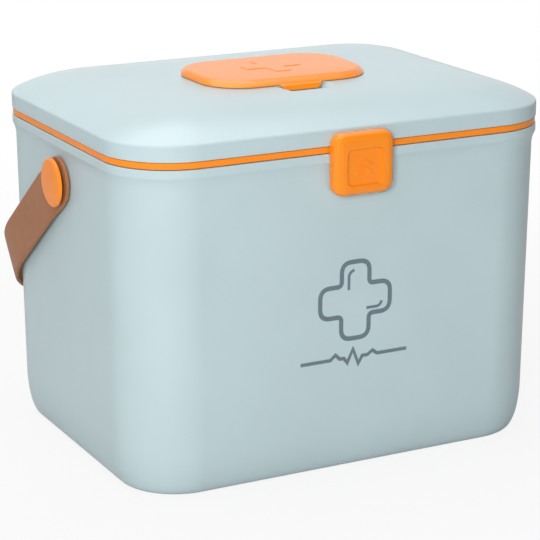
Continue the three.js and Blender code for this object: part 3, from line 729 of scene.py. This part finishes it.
for side, word in NAMED_SIDES:
    ends = sorted((side * HINGE_PIN_NEAR, side * HINGE_PIN_FAR))
    make_pin(f"hinge_rod_{word}", f"hinge_pin_{word}", "case", HINGE_PIN_RADIUS, *ends, HINGE)
make_pin("hatch_rod", "hatch_pin", "lid", HATCH_PIN_RADIUS,
         -HATCH_PIN_HALF, HATCH_PIN_HALF, HATCH_PIN)
make_pin("latch_rod", "latch_pin", "lid", LATCH_PIN_RADIUS,
         -LATCH_PIN_HALF, LATCH_PIN_HALF, LATCH_PIVOT)

# Latch: a plate with a recessed face, hollow behind, with a lip under the catch

LATCH_TOP = 220.0
LATCH_BOTTOM = 181.0
LATCH_MIDDLE = (LATCH_TOP + LATCH_BOTTOM) / 2
LATCH_HALF_Z = (LATCH_TOP - LATCH_BOTTOM) / 2
LATCH_HALF_X = 20.6
LATCH_CORNER = 7.4
LATCH_FACE = -123.9
LATCH_BACK = -115.4
LATCH_WALL = 2.2
LATCH_EYE = 2.35  # free radius round the lug
RECESS_FLOOR = -122.2
RECESS_DROP = 1.9  # of its middle under the latch's
RECESS_HALF_X, RECESS_HALF_Z, RECESS_CORNER = 12.6, 11.5, 4
POCKET_CORNER = 5.5
POCKET = ((-100, 0), (-120.5, 0), (-121.3, 0.8))  # y, shrink
BEHIND = -100  # y of what is cut away behind the latch
CATCH_LIP = [(-121.6, 183.6), (-119.0, 183.6), (-119.0, 187.9), (-121.6, 187.9)]  # y, z
CATCH_LIP_HALF = 12
CHEVRON_HALF = 5.2
CHEVRON_RISE = 3.6
CHEVRON_WIDTH = 1.9
CHEVRON_FEET = (198.2, 193.6)  # z
CHEVRON_FRONT, CHEVRON_BACK = -123.0, -121.9


def latch_ring(y, inset):
    flat = outline(LATCH_HALF_X - inset, LATCH_HALF_Z - inset, LATCH_CORNER - inset, steps=16)
    return [(x, y, LATCH_MIDDLE + z) for x, z in flat]


def recess_ring(y, grow):
    flat = outline(RECESS_HALF_X + grow, RECESS_HALF_Z + grow, RECESS_CORNER + grow, steps=16)
    return [(x, y, LATCH_MIDDLE - RECESS_DROP + z) for x, z in flat]


def pocket_ring(y, shrink):
    """A ring of the hollow behind the latch's face, under its eye."""
    half_z = (LATCH_PIVOT[1] - LATCH_EYE - LATCH_BOTTOM - LATCH_WALL) / 2
    middle = LATCH_BOTTOM + LATCH_WALL + half_z
    flat = outline(LATCH_HALF_X - LATCH_WALL - shrink, half_z - shrink, POCKET_CORNER - shrink,
                   steps=8)
    return [(x, y, middle + z) for x, z in flat]


def chevron(foot):
    peak = foot + CHEVRON_RISE
    points = [(-CHEVRON_HALF, foot), (0, peak), (CHEVRON_HALF, foot),
              (CHEVRON_HALF, foot + CHEVRON_WIDTH), (0, peak + CHEVRON_WIDTH),
              (-CHEVRON_HALF, foot + CHEVRON_WIDTH)]
    body = prism("chevron", points, CHEVRON_FRONT, CHEVRON_BACK, "y")
    return bevelled(body, 0.25, segments=3, limit=30)


def make_latch():
    edge = softened([(1, LATCH_BACK), (0, LATCH_BACK, 0.4), (0, -120.8, 2.2), (1.7, -123.1, 2.2),
                     (4.7, LATCH_FACE, 2.5), (5.7, LATCH_FACE)], steps=6)
    rings = [latch_ring(y, inset) for inset, y in edge]
    step = softened([(0.45, LATCH_FACE), (0, LATCH_FACE, 0.3), (-0.7, RECESS_FLOOR, 0.35),
                     (-2.5, RECESS_FLOOR)])
    rings += [recess_ring(y, grow) for grow, y in step]
    latch = skin("latch_plate", rings)
    y, z = LATCH_PIVOT
    pocket = skin("pocket", [pocket_ring(*ring) for ring in POCKET])
    slot = [(BEHIND, 205), (y - LATCH_EYE, 205)] + arc(LATCH_PIVOT, LATCH_EYE, 180, 90, steps=12)
    slot += [(y, 230), (BEHIND, 230)]
    corner = [(BEHIND, z)] + arc(LATCH_PIVOT, 2.1, 0, 90, steps=12) + [(y, 240), (BEHIND, 240)]
    cuts = [pocket, prism("slot", slot, -12.6, 12.6), prism("corner", corner, -30, 30),
            bore("bore", LATCH_BORE, 14.75, LATCH_PIVOT)]
    combine(latch, cuts, "DIFFERENCE")
    lip = bevelled(prism("lip", CATCH_LIP, -CATCH_LIP_HALF, CATCH_LIP_HALF), 0.3)
    combine(latch, [lip] + [chevron(foot) for foot in CHEVRON_FEET], "UNION")
    return dressed(latch, "latch", ORANGE, "orange", "latch")


make_latch()

# Hatch with its lip, knuckle and a plain raised cross

HATCH_CORNER = 27.5
HATCH_BOTTOM = 235.3
HATCH_EDGE = 235.9  # where the outside starts to rise
HATCH_CREST = 239.7
HATCH_UNDER = [(237.5, 5), (237.5, 2.8), (237.2, 2.2), (235.5, 1.8), (HATCH_BOTTOM, 1.6),
               (HATCH_BOTTOM, 0.25), (235.45, 0.05)]  # z, inset
FRONT_SLOPE, FRONT_SHOULDER, FRONT_POWER = 5.2, 239.25, 1.55
BACK_SLOPE, BACK_SHOULDER = 3.3, 239.62
TURN_START, TURN_LENGTH = -30, 25  # along Y, where the front's form turns into the back's
CREST_REACH = 20
SLOPE_STEPS = 14
SLOPE_CROWDING = 1.4  # sets the rings closer together at the edge
CREST_INSETS = (6, 8, 10, 12.5, 15, 18, 21, 24.5)
LIP_THICK = 2.2
LIP_RINGS = ((231.8, 11.2, 2.6), (234.9, 14.9, 1.7), (236.0, 15.1, 0.3))  # z, half width, out
HATCH_KNUCKLE = 1.3
HATCH_KNUCKLE_HALF = 14
CROSS_SHIFT = 3
CROSS_LOW, CROSS_HIGH = 239.2, 240.08


def hatch_surface(inset, y):
    """The outside height at a distance inside the outline: a sloping front, a round back."""
    back = min(max((y - TURN_START) / TURN_LENGTH, 0), 1)
    back = back * back * (3 - 2 * back)
    slope = lerp(FRONT_SLOPE, BACK_SLOPE, back)
    shoulder = lerp(FRONT_SHOULDER, BACK_SHOULDER, back)
    if inset < slope:
        share = 1 - inset / slope
        rise = lerp(1 - share ** FRONT_POWER, math.sqrt(1 - share * share), back)
        return lerp(HATCH_EDGE, shoulder, rise)
    share = min((inset - slope) / CREST_REACH, 1)
    return lerp(shoulder, HATCH_CREST, 1 - (1 - share) ** 2)


def hatch_cover():
    def ring(z, inset):
        return hatch_ring(z, HATCH_HALF_X - inset, HATCH_HALF_Y - inset, HATCH_CORNER - inset)

    rings = [ring(z, inset) for z, inset in HATCH_UNDER]
    shares = [(step / SLOPE_STEPS) ** SLOPE_CROWDING for step in range(SLOPE_STEPS + 1)]
    for inset in [FRONT_SLOPE * share for share in shares] + list(CREST_INSETS):
        rings.append([(x, y, hatch_surface(inset, y)) for x, y, _ in ring(0, inset)])
    return skin("hatch_cover", rings)


def hatch_lip():
    rings = []
    for z, half, out in LIP_RINGS:
        front = HATCH_FRONT - out
        rings.append([(-half, front, z), (half, front, z),
                      (half, front + LIP_THICK, z), (-half, front + LIP_THICK, z)])
    return bevelled(skin("lip", rings), 0.5, segments=4, limit=25)


def make_hatch():
    hatch = hatch_cover()
    lip = hatch_lip()
    shape = arc(HATCH_PIN, HATCH_KNUCKLE, -90, 70) + [(34.5, 238.0), (35, 236.4),
                                                      (36, HATCH_BOTTOM)]
    knuckle = prism("knuckle", shape, -HATCH_KNUCKLE_HALF, HATCH_KNUCKLE_HALF)
    combine(hatch, [lip, bevelled(knuckle, 0.7, segments=3)], "UNION")
    groove = prism("groove", [(HATCH_FRONT - 0.1, 235.75), (HATCH_FRONT + 0.55, 236.6),
                              (HATCH_FRONT - 0.6, 236.6)], -13.2, 13.2)
    hole = bore("hatch_hole", PIN_HOLE_SMALL, 25, HATCH_PIN)
    combine(hatch, [groove, hole], "DIFFERENCE")
    dressed(hatch, "hatch", ORANGE, "orange", "hatch")
    plus = plus_outline(arm=20, half=6, round_out=3, round_in=2.4)
    cross = prism("hatch_cross", [(x, y + HATCH_SHIFT + CROSS_SHIFT) for x, y in plus],
                  CROSS_LOW, CROSS_HIGH, "z")
    bevelled(cross, 0.4, segments=3)
    dressed(cross, "hatch", ORANGE, "orange")


make_hatch()

# Bin under the hatch

BIN_CORNER = 19.7
BIN_BOTTOM = 216.0
BIN_FLOOR = 217.5
BIN_MIDDLE = 25  # inset where the rings of its floor end
FLANGE_LOW, FLANGE_HIGH = 235.3, 236.5
FLANGE = (53.9, 36.4, 24.9)  # half sizes and corner
FLANGE_EDGE = ((FLANGE_LOW, 0.3), (235.5, 0), (236.3, 0), (FLANGE_HIGH, 0.3))  # z, trim


def make_bin():
    outer = softened([(BIN_MIDDLE, BIN_BOTTOM), (1.8, BIN_BOTTOM, 3.0), (0.3, FLANGE_LOW, 0.3)],
                     steps=8)
    rings = [opening_ring(z, -inset, BIN_CORNER) for inset, z in outer]
    for z, trim in FLANGE_EDGE:
        rings.append(hatch_ring(z, *(size - trim for size in FLANGE)))
    inner = softened([(-2, FLANGE_HIGH), (1.8, FLANGE_HIGH, 0.5), (3.3, BIN_FLOOR, 3.5),
                      (BIN_MIDDLE, BIN_FLOOR)], steps=8)
    rings += [opening_ring(z, -inset) for inset, z in inner]
    return dressed(skin("bin_shell", rings), "lid", TRAY, "tray", "top_bin")


make_bin()

# Strap: a soft band whose height over its flat outline is rounded at the edges. It is made with
# its pivot at the origin and its arms along Y, and turned down to its rest.

STRAP_HALF = 16.1
STRAP_HALF_THICK = 1.5
STRAP_CORE, STRAP_ROUND, STRAP_CROWN = 0.25, 1.13, 0.12  # these make up half its thickness
STRAP_EDGE = 1.15
STRAP_CROWN_REACH, STRAP_CROWN_POWER = 9, 0.6
STRAP_TIP = 0.2  # half width at the tip of the round end
STRAP_REST = math.radians(37.1)
STRAP_REST_GAP = 0.6  # to the back wall
END_MIDDLE = 149.8  # x of the band's middle at the button
ARM_MIDDLE = 151.85  # and along the arm
SWAY_START, SWAY_END = 4, 24  # between which it goes from one to the other
SWAY_STEPS = 16
BEND_ACROSS, BEND_ALONG = 43.5, 62.5
EDGE_SHARES = [0.999, 0.996, 0.99, 0.98, 0.965, 0.945, 0.9, 0.8, 0.6, 0.3]


def strap_reach():
    """How far along the arms the crossbar's inner face is, so that it rests on the back wall."""
    lean = TAPER / COVE_BOTTOM
    wall = HALF_Y - RIM_STEP + STRAP_REST_GAP
    drop = COVE_BOTTOM - PIVOT_Z + math.cos(STRAP_REST) * STRAP_HALF
    along = math.cos(STRAP_REST) + lean * math.sin(STRAP_REST)
    return (wall + math.sin(STRAP_REST) * STRAP_HALF - lean * drop) / along


def strap_line():
    """Half the band's centre line, from button to crossbar, as (x, y, outward x, outward y)."""
    centre_x = ARM_MIDDLE - BEND_ACROSS
    centre_y = strap_reach() + STRAP_HALF_THICK - BEND_ALONG
    line = [(END_MIDDLE, -STRAP_HALF * math.cos(turn), 1, 0) for turn in quarter(steps=9)]
    for step in range(SWAY_STEPS + 1):
        t = step / SWAY_STEPS
        share = (1 - math.cos(t * math.pi)) / 2
        line.append((lerp(END_MIDDLE, ARM_MIDDLE, share), lerp(SWAY_START, SWAY_END, t), 1, 0))
    line += [(ARM_MIDDLE, y, 1, 0) for y in between(SWAY_END, centre_y, parts=8)]
    for turn in quarter(steps=32):
        out = Vector((math.cos(turn) / BEND_ACROSS, math.sin(turn) / BEND_ALONG)).normalized()
        line.append((centre_x + BEND_ACROSS * math.cos(turn),
                     centre_y + BEND_ALONG * math.sin(turn), out.x, out.y))
    line += [(x, centre_y + BEND_ALONG, 0, 1) for x in between(centre_x, 0, parts=12)]
    return line


def strap_height(distance):
    """Half the band's thickness at a distance inside its edge: soft edges and a faint crown."""
    inside = min(distance, STRAP_EDGE) / STRAP_EDGE
    middle = min(1, max(0, distance - STRAP_EDGE) / STRAP_CROWN_REACH)
    crown = STRAP_CROWN * middle ** STRAP_CROWN_POWER
    return STRAP_CORE + STRAP_ROUND * math.sqrt(max(0, 1 - (1 - inside) ** 2)) + crown


def make_strap():
    half_line = strap_line()
    middle = (0, half_line[-1][1], 0, 1)
    line = half_line + [middle] + [(-x, y, -ox, oy) for x, y, ox, oy in reversed(half_line)]
    across = [-1] + [-share for share in EDGE_SHARES] + [0] + EDGE_SHARES[::-1] + [1]
    rings = []
    for x, y, out_x, out_y in line:
        half = STRAP_HALF
        if y < 0:
            half = math.sqrt(max(STRAP_HALF ** 2 - y * y, STRAP_TIP ** 2))
        ring = []
        for face, shares in ((1, across), (-1, across[::-1])):
            for share in shares:
                z = share * half
                radial = math.hypot(y, z) if y < 0 else abs(z)
                height = face * strap_height(max(STRAP_HALF - radial, 0))
                ring.append((x + out_x * height, y + out_y * height, z))
        rings.append(ring)
    strap = skin("strap_band", rings)
    hole = bore("strap_hole", SHAFT_HOLE, 170, (0, 0), steps=SHAFT_HOLE_STEPS)
    combine(strap, [hole], "DIFFERENCE")
    turn = Matrix.Rotation(-STRAP_REST, 4, "X")
    strap.data.transform(Matrix.Translation((0, 0, PIVOT_Z * MM)) @ turn)
    return dressed(strap, "handle", STRAP, "strap", "handle_strap")


make_strap()

# Buttons, with their shafts, and the push-on rings inside

BUTTON = [(141.44, AXIS_RADIUS), (141.44, 5, 0.6), (143.0, 5, 0.1), (143.0, 4.4, 0.1),
          (145.1, 4.4, 0.1), (145.1, 5, 0.1), (153.65, 5, 0.2), (153.65, 15.6, 0.3),
          (155.1, 15.6, 0.9), (155.9, 14.2, 1.2), (156.3, 10), (156.47, 5),
          (156.5, AXIS_RADIUS)]  # distance along X, radius, rounding
RING_OUTER, RING_INNER = 144.94, 143.34  # along X
RING_SLOTS = 6
RING_SLOT = [(-0.45, 3.5), (0.45, 3.5), (0.45, 7.0), (-0.45, 7.0)]  # across, out


def make_button(side, word):
    rings = turned(softened(BUTTON), (0, PIVOT_Z), steps=96, side=side)
    button = skin(f"pivot_cap_{word}", rings)
    return dressed(button, "case", ORANGE, "orange", f"handle_button_{word}")


def ring_slot(side, angle):
    slot = prism("slot", RING_SLOT, RING_INNER - 2, RING_OUTER + 2)
    slot.data.transform(Matrix.Rotation(angle, 4, "X"))
    slot.data.transform(Matrix.Translation((0, 0, PIVOT_Z * MM)))
    if side < 0:
        slot.data.transform(Matrix.Scale(-1, 4, (1, 0, 0)))
        slot.data.flip_normals()
    return slot


def make_ring(side, word):
    outer, inner = RING_OUTER, RING_INNER
    profile = [(inner + 0.5, 4.7), (inner, 5.4), (inner, 8.0), (inner + 0.3, 8.8),
               (outer - 0.1, 9.0), (outer, 8.8), (outer - 0.3, 7.6), (outer - 0.3, 6.0),
               (outer, 5.2), (outer - 0.1, 4.7)]
    rings = turned(profile, (0, PIVOT_Z), side=side)
    ring = skin(f"push_ring_{word}", rings, closed=True)
    slots = [ring_slot(side, k * 2 * math.pi / RING_SLOTS) for k in range(RING_SLOTS)]
    combine(ring, slots, "DIFFERENCE")
    return dressed(ring, "case", STEEL, "steel", f"handle_retainer_{word}")


for side, word in NAMED_SIDES:
    make_button(side, word)
    make_ring(side, word)

# Tray, its grip and its dividers

TRAY_HALF_X, TRAY_HALF_Y, TRAY_CORNER = 139.78, 104.78, 35.6
TRAY_BOTTOM, TRAY_FLOOR, TRAY_RIM = 161.5, 163.1, 202.5
TRAY_MIDDLE = 30  # inset where the rings of its floor end
PLATE_LOW, PLATE_BEND, PLATE_HIGH = 163.4, 187.4, 193.4
PLATE_CHAMFER = 6
GRIP_HALF = 136.88
GRIP_THICK_HALF = 1.2
GRIP_TOP = 207.4
GRIP_WIDE, GRIP_NARROW, GRIP_ROUND = 62, 48, 6
GRIP_SLOT = (36, 8, 8)  # half sizes and corner
DIVIDER_NEAR, DIVIDER_FAR = 1.5, 101.88
DIVIDER_THICK_HALF = 0.8
DIVIDER_X = 46


def make_tray():
    outer = [(TRAY_MIDDLE, TRAY_BOTTOM), (1.0, TRAY_BOTTOM, 2.5), (0.05, 200.5, 0.2),
             (0.0, TRAY_RIM, 0.4), (0.8, TRAY_RIM)]
    inner = [(0.8, TRAY_RIM), (1.6, TRAY_RIM, 0.4), (2.6, TRAY_FLOOR, 2.5),
             (TRAY_MIDDLE, TRAY_FLOOR)]
    rings = []
    for inset, z in softened(outer, steps=6) + softened(inner, steps=6)[1:]:
        flat = outline(TRAY_HALF_X - inset, TRAY_HALF_Y - inset, TRAY_CORNER - inset)
        rings.append([(x, y, z) for x, y in flat])
    return dressed(skin("tray_shell", rings), "case", TRAY, "tray", "tray")


def make_grip():
    right = [(GRIP_HALF, PLATE_LOW), (GRIP_HALF, PLATE_BEND),
             (GRIP_HALF - PLATE_CHAMFER, PLATE_HIGH), (GRIP_WIDE, PLATE_HIGH, GRIP_ROUND),
             (GRIP_NARROW, GRIP_TOP, GRIP_ROUND)]
    left = [(-x, *rest) for x, *rest in reversed(right)]
    points = [left[-1]] + right + left[:-1]
    grip = prism("grip_plate", softened(points, closed=True, steps=6),
                 -GRIP_THICK_HALF, GRIP_THICK_HALF, "y")
    slot = [(x, PLATE_HIGH + z) for x, z in outline(*GRIP_SLOT, steps=10)]
    combine(grip, [prism("slot", slot, -5, 5, "y")], "DIFFERENCE")
    bevelled(grip, 0.5, segments=3)
    return dressed(grip, "case", TRAY, "tray", "tray_grip")


def make_divider(name, node, x, side):
    near, far = side * DIVIDER_NEAR, side * DIVIDER_FAR
    points = [(near, PLATE_LOW), (far, PLATE_LOW), (far, PLATE_BEND),
              (far - side * PLATE_CHAMFER, PLATE_HIGH), (near, PLATE_HIGH)]
    divider = prism(name, points, x - DIVIDER_THICK_HALF, x + DIVIDER_THICK_HALF)
    return dressed(bevelled(divider, 0.35, segments=3), "case", TRAY, "tray", node)


make_tray()
make_grip()
make_divider("divider_front_left", "tray_divider_front_left", -DIVIDER_X, -1)
make_divider("divider_front_right", "tray_divider_front_right", DIVIDER_X, -1)
make_divider("divider_back", "tray_divider_back", DIVIDER_X, 1)

# Print on the front: a plain outlined cross with inner strokes, and a pulse line under it

INK_PROUD, INK_SUNK = 0.06, -0.05
PRINT_X, PRINT_Z = 0.2, 111.6
CROSS_STROKE, INNER_STROKE, PULSE_STROKE = 3.0, 1.9, 2.3
PULSE = [(-38, 74.4), (-17, 74.4), (-13.4, 77.4), (-10.2, 74.4), (-7.4, 74.4), (-4.8, 71.2),
         (-0.9, 79.6), (3.0, 69.6), (5.8, 74.4), (9.6, 74.4), (13.2, 76.8), (16.4, 74.4),
         (38, 74.4)]  # x, z


def front_point(x, z, lift):
    return (x, -(HALF_Y - wall_inset(z)) - lift, z)


def stroke(points, width, closed=False):
    """A thin raised stroke along (x, z) points on the front wall, as verts and faces."""
    sharpest = 0.5  # limits how far a mitre reaches
    count = len(points)
    verts, faces = [], []
    for k, point in enumerate(points):
        here = Vector(point)
        ways = []
        if closed or k > 0:
            ways.append((here - Vector(points[k - 1])).normalized())
        if closed or k < count - 1:
            ways.append((Vector(points[(k + 1) % count]) - here).normalized())
        along = (ways[0] + ways[-1]).normalized()
        normal = Vector((-along.y, along.x))
        across = Vector((-ways[0].y, ways[0].x))
        reach = width / 2 / max(normal.dot(across), sharpest)
        left, right = here + normal * reach, here - normal * reach
        verts.extend([front_point(*left, INK_PROUD), front_point(*right, INK_PROUD),
                      front_point(*right, INK_SUNK), front_point(*left, INK_SUNK)])
    for k in range(count if closed else count - 1):
        a, b = 4 * k, 4 * ((k + 1) % count)
        for i in range(4):
            j = (i + 1) % 4
            faces.append((a + i, a + j, b + j, b + i))
    if not closed:
        faces.append((0, 1, 2, 3))
        faces.append(tuple(4 * (count - 1) + i for i in (3, 2, 1, 0)))
    return verts, faces


def make_print():
    plus = plus_outline(arm=24.8, half=9.8, round_out=6.8, round_in=3.0)
    cross = [(x + PRINT_X, z + PRINT_Z) for x, z in plus]
    upper = [(PRINT_X - 4.7, PRINT_Z + 7)]
    upper += arc((PRINT_X - 0.5, PRINT_Z + 15.2), 4.2, 180, 95, steps=8)
    lower = [(PRINT_X + 8, PRINT_Z - 6.2)]
    lower += arc((PRINT_X + 15.2, PRINT_Z - 2.6), 3.6, -95, -5, steps=8)
    strokes = [stroke(cross, CROSS_STROKE, closed=True), stroke(upper, INNER_STROKE),
               stroke(lower, INNER_STROKE), stroke(PULSE, PULSE_STROKE)]
    verts, faces = [], []
    for more_verts, more_faces in strokes:
        base = len(verts)
        verts += more_verts
        faces += [tuple(i + base for i in face) for face in more_faces]
    return dressed(mesh_object("front_print", verts, faces), "case", INK, "shell")


make_print()

# Studio: plain soft light, a pale floor that keeps the shadow, and white all round

SKY_COLOR = (0.97, 0.985, 1, 1)
SKY_STRENGTH = 0.17
STUDIO_DEPTH = (-0.5, 0.3, 0.28, 1)  # gloss shows the side behind the camera darker
FLOOR_HALF, FLOOR_Z = 6000, -0.3
FLOOR_DARK, FLOOR_LIGHT, FLOOR_ROUGHNESS = 0.62, 0.64, 0.9
FLOOR_CLOUD = 300
FLOOR_WHITE = (0.2, 0.9, 0.87, 1)  # metres from the middle, and how white it is seen there
FLOOR_GLOSS = 0.12  # how much of that white the gloss shows
LOW_AIM, HIGH_AIM = (0, 0, 0.12), (0, 0, 0.2)  # metres


def calculate(tree, operation, first, second):
    """A Math node on a socket and another socket or a number."""
    node = tree.nodes.new("ShaderNodeMath")
    node.operation = operation
    tree.links.new(first, node.inputs[0])
    if isinstance(second, float):
        node.inputs[1].default_value = second
    else:
        tree.links.new(second, node.inputs[1])
    return node.outputs[0]


def seen_by(tree, *kinds):
    """1 for rays of these kinds, and 0 for the light that falls on things."""
    path = tree.nodes.new("ShaderNodeLightPath")
    total = path.outputs[kinds[0]]
    for kind in kinds[1:]:
        total = calculate(tree, "MAXIMUM", total, path.outputs[kind])
    return total


def mix_shaders(tree, share, plain, seen, target):
    mix = tree.nodes.new("ShaderNodeMixShader")
    tree.links.new(share, mix.inputs["Fac"])
    tree.links.new(plain.outputs[0], mix.inputs[1])
    tree.links.new(seen.outputs[0], mix.inputs[2])
    tree.links.new(mix.outputs[0], target.inputs["Surface"])


def make_world():
    world = bpy.data.worlds.new("studio")
    bpy.context.scene.world = world
    world.use_nodes = True
    tree = world.node_tree
    light = tree.nodes["Background"]
    light.inputs["Color"].default_value = SKY_COLOR
    light.inputs["Strength"].default_value = SKY_STRENGTH
    white = tree.nodes.new("ShaderNodeBackground")
    white.inputs["Color"].default_value = WHITE
    place = tree.nodes.new("ShaderNodeTexCoord")
    split = tree.nodes.new("ShaderNodeSeparateXYZ")
    tree.links.new(place.outputs["Generated"], split.inputs[0])
    depth = map_range(tree, split.outputs["Y"], STUDIO_DEPTH, smooth=True)
    strength = calculate(tree, "MAXIMUM", seen_by(tree, "Is Camera Ray"), depth)
    tree.links.new(strength, white.inputs["Strength"])
    rays = seen_by(tree, "Is Camera Ray", "Is Glossy Ray", "Is Transmission Ray")
    mix_shaders(tree, rays, light, white, tree.nodes["World Output"])


def make_floor():
    corners = [(-1, -1), (1, -1), (1, 1), (-1, 1)]
    floor = mesh_object("floor", [(x * FLOOR_HALF, y * FLOOR_HALF, FLOOR_Z) for x, y in corners],
                        [(0, 1, 2, 3)])
    nodes = Nodes("floor_pale")
    tree = nodes.tree
    cloud = nodes.noise(FLOOR_CLOUD, detail=2.0)
    tone = nodes.tone(cloud, grey(FLOOR_DARK), grey(FLOOR_LIGHT))
    nodes.link(tone, nodes.shader.inputs["Base Color"])
    nodes.shader.inputs["Roughness"].default_value = FLOOR_ROUGHNESS
    white = nodes.add("ShaderNodeEmission", Color=WHITE, Strength=1)
    distance = nodes.add("ShaderNodeVectorMath")
    distance.operation = "LENGTH"
    nodes.link(nodes.place, distance.inputs[0])
    fade = map_range(tree, distance.outputs["Value"], FLOOR_WHITE, smooth=True)
    gloss = calculate(tree, "MULTIPLY", seen_by(tree, "Is Glossy Ray"), FLOOR_GLOSS)
    direct = seen_by(tree, "Is Camera Ray", "Is Transmission Ray")
    share = calculate(tree, "MULTIPLY", calculate(tree, "MAXIMUM", direct, gloss), fade)
    mix_shaders(tree, share, nodes.shader, white, tree.nodes["Material Output"])
    floor.data.materials.append(nodes.material)


def make_lamp(name, place, aim, width, height, power, color=(1, 1, 1), gloss=True):
    """A lamp: place, aim and sizes in metres, power in watts, and whether gloss shows it."""
    data = bpy.data.lights.new(name, "AREA")
    data.shape = "RECTANGLE"
    data.size = width
    data.size_y = height
    data.energy = power
    data.color = color
    lamp = bpy.data.objects.new(name, data)
    bpy.context.scene.collection.objects.link(lamp)
    look = (Vector(aim) - Vector(place)).to_track_quat("-Z", "Y")
    lamp.matrix_world = Matrix.Translation(place) @ look.to_matrix().to_4x4()
    lamp.visible_glossy = gloss


make_world()
make_floor()
make_lamp("key", (-1.2, -1.6, 0.75), LOW_AIM, width=0.6, height=0.6, power=25.3, gloss=False)
make_lamp("key_gloss", (-1.0, -1.6, 1.1), LOW_AIM, width=1.3, height=1.3, power=7)
make_lamp("top", (-0.1, 0.3, 1.7), HIGH_AIM, width=1.8, height=1.6, power=21)
make_lamp("side", (-1.8, 0.1, 0.8), LOW_AIM, width=1.0, height=1.0, power=0.8,
          color=(1, 0.95, 0.88))
make_lamp("back", (0.9, 1.9, 0.5), LOW_AIM, width=1.6, height=0.8, power=8, gloss=False)
bpy.context.scene.view_settings.view_transform = "Standard"
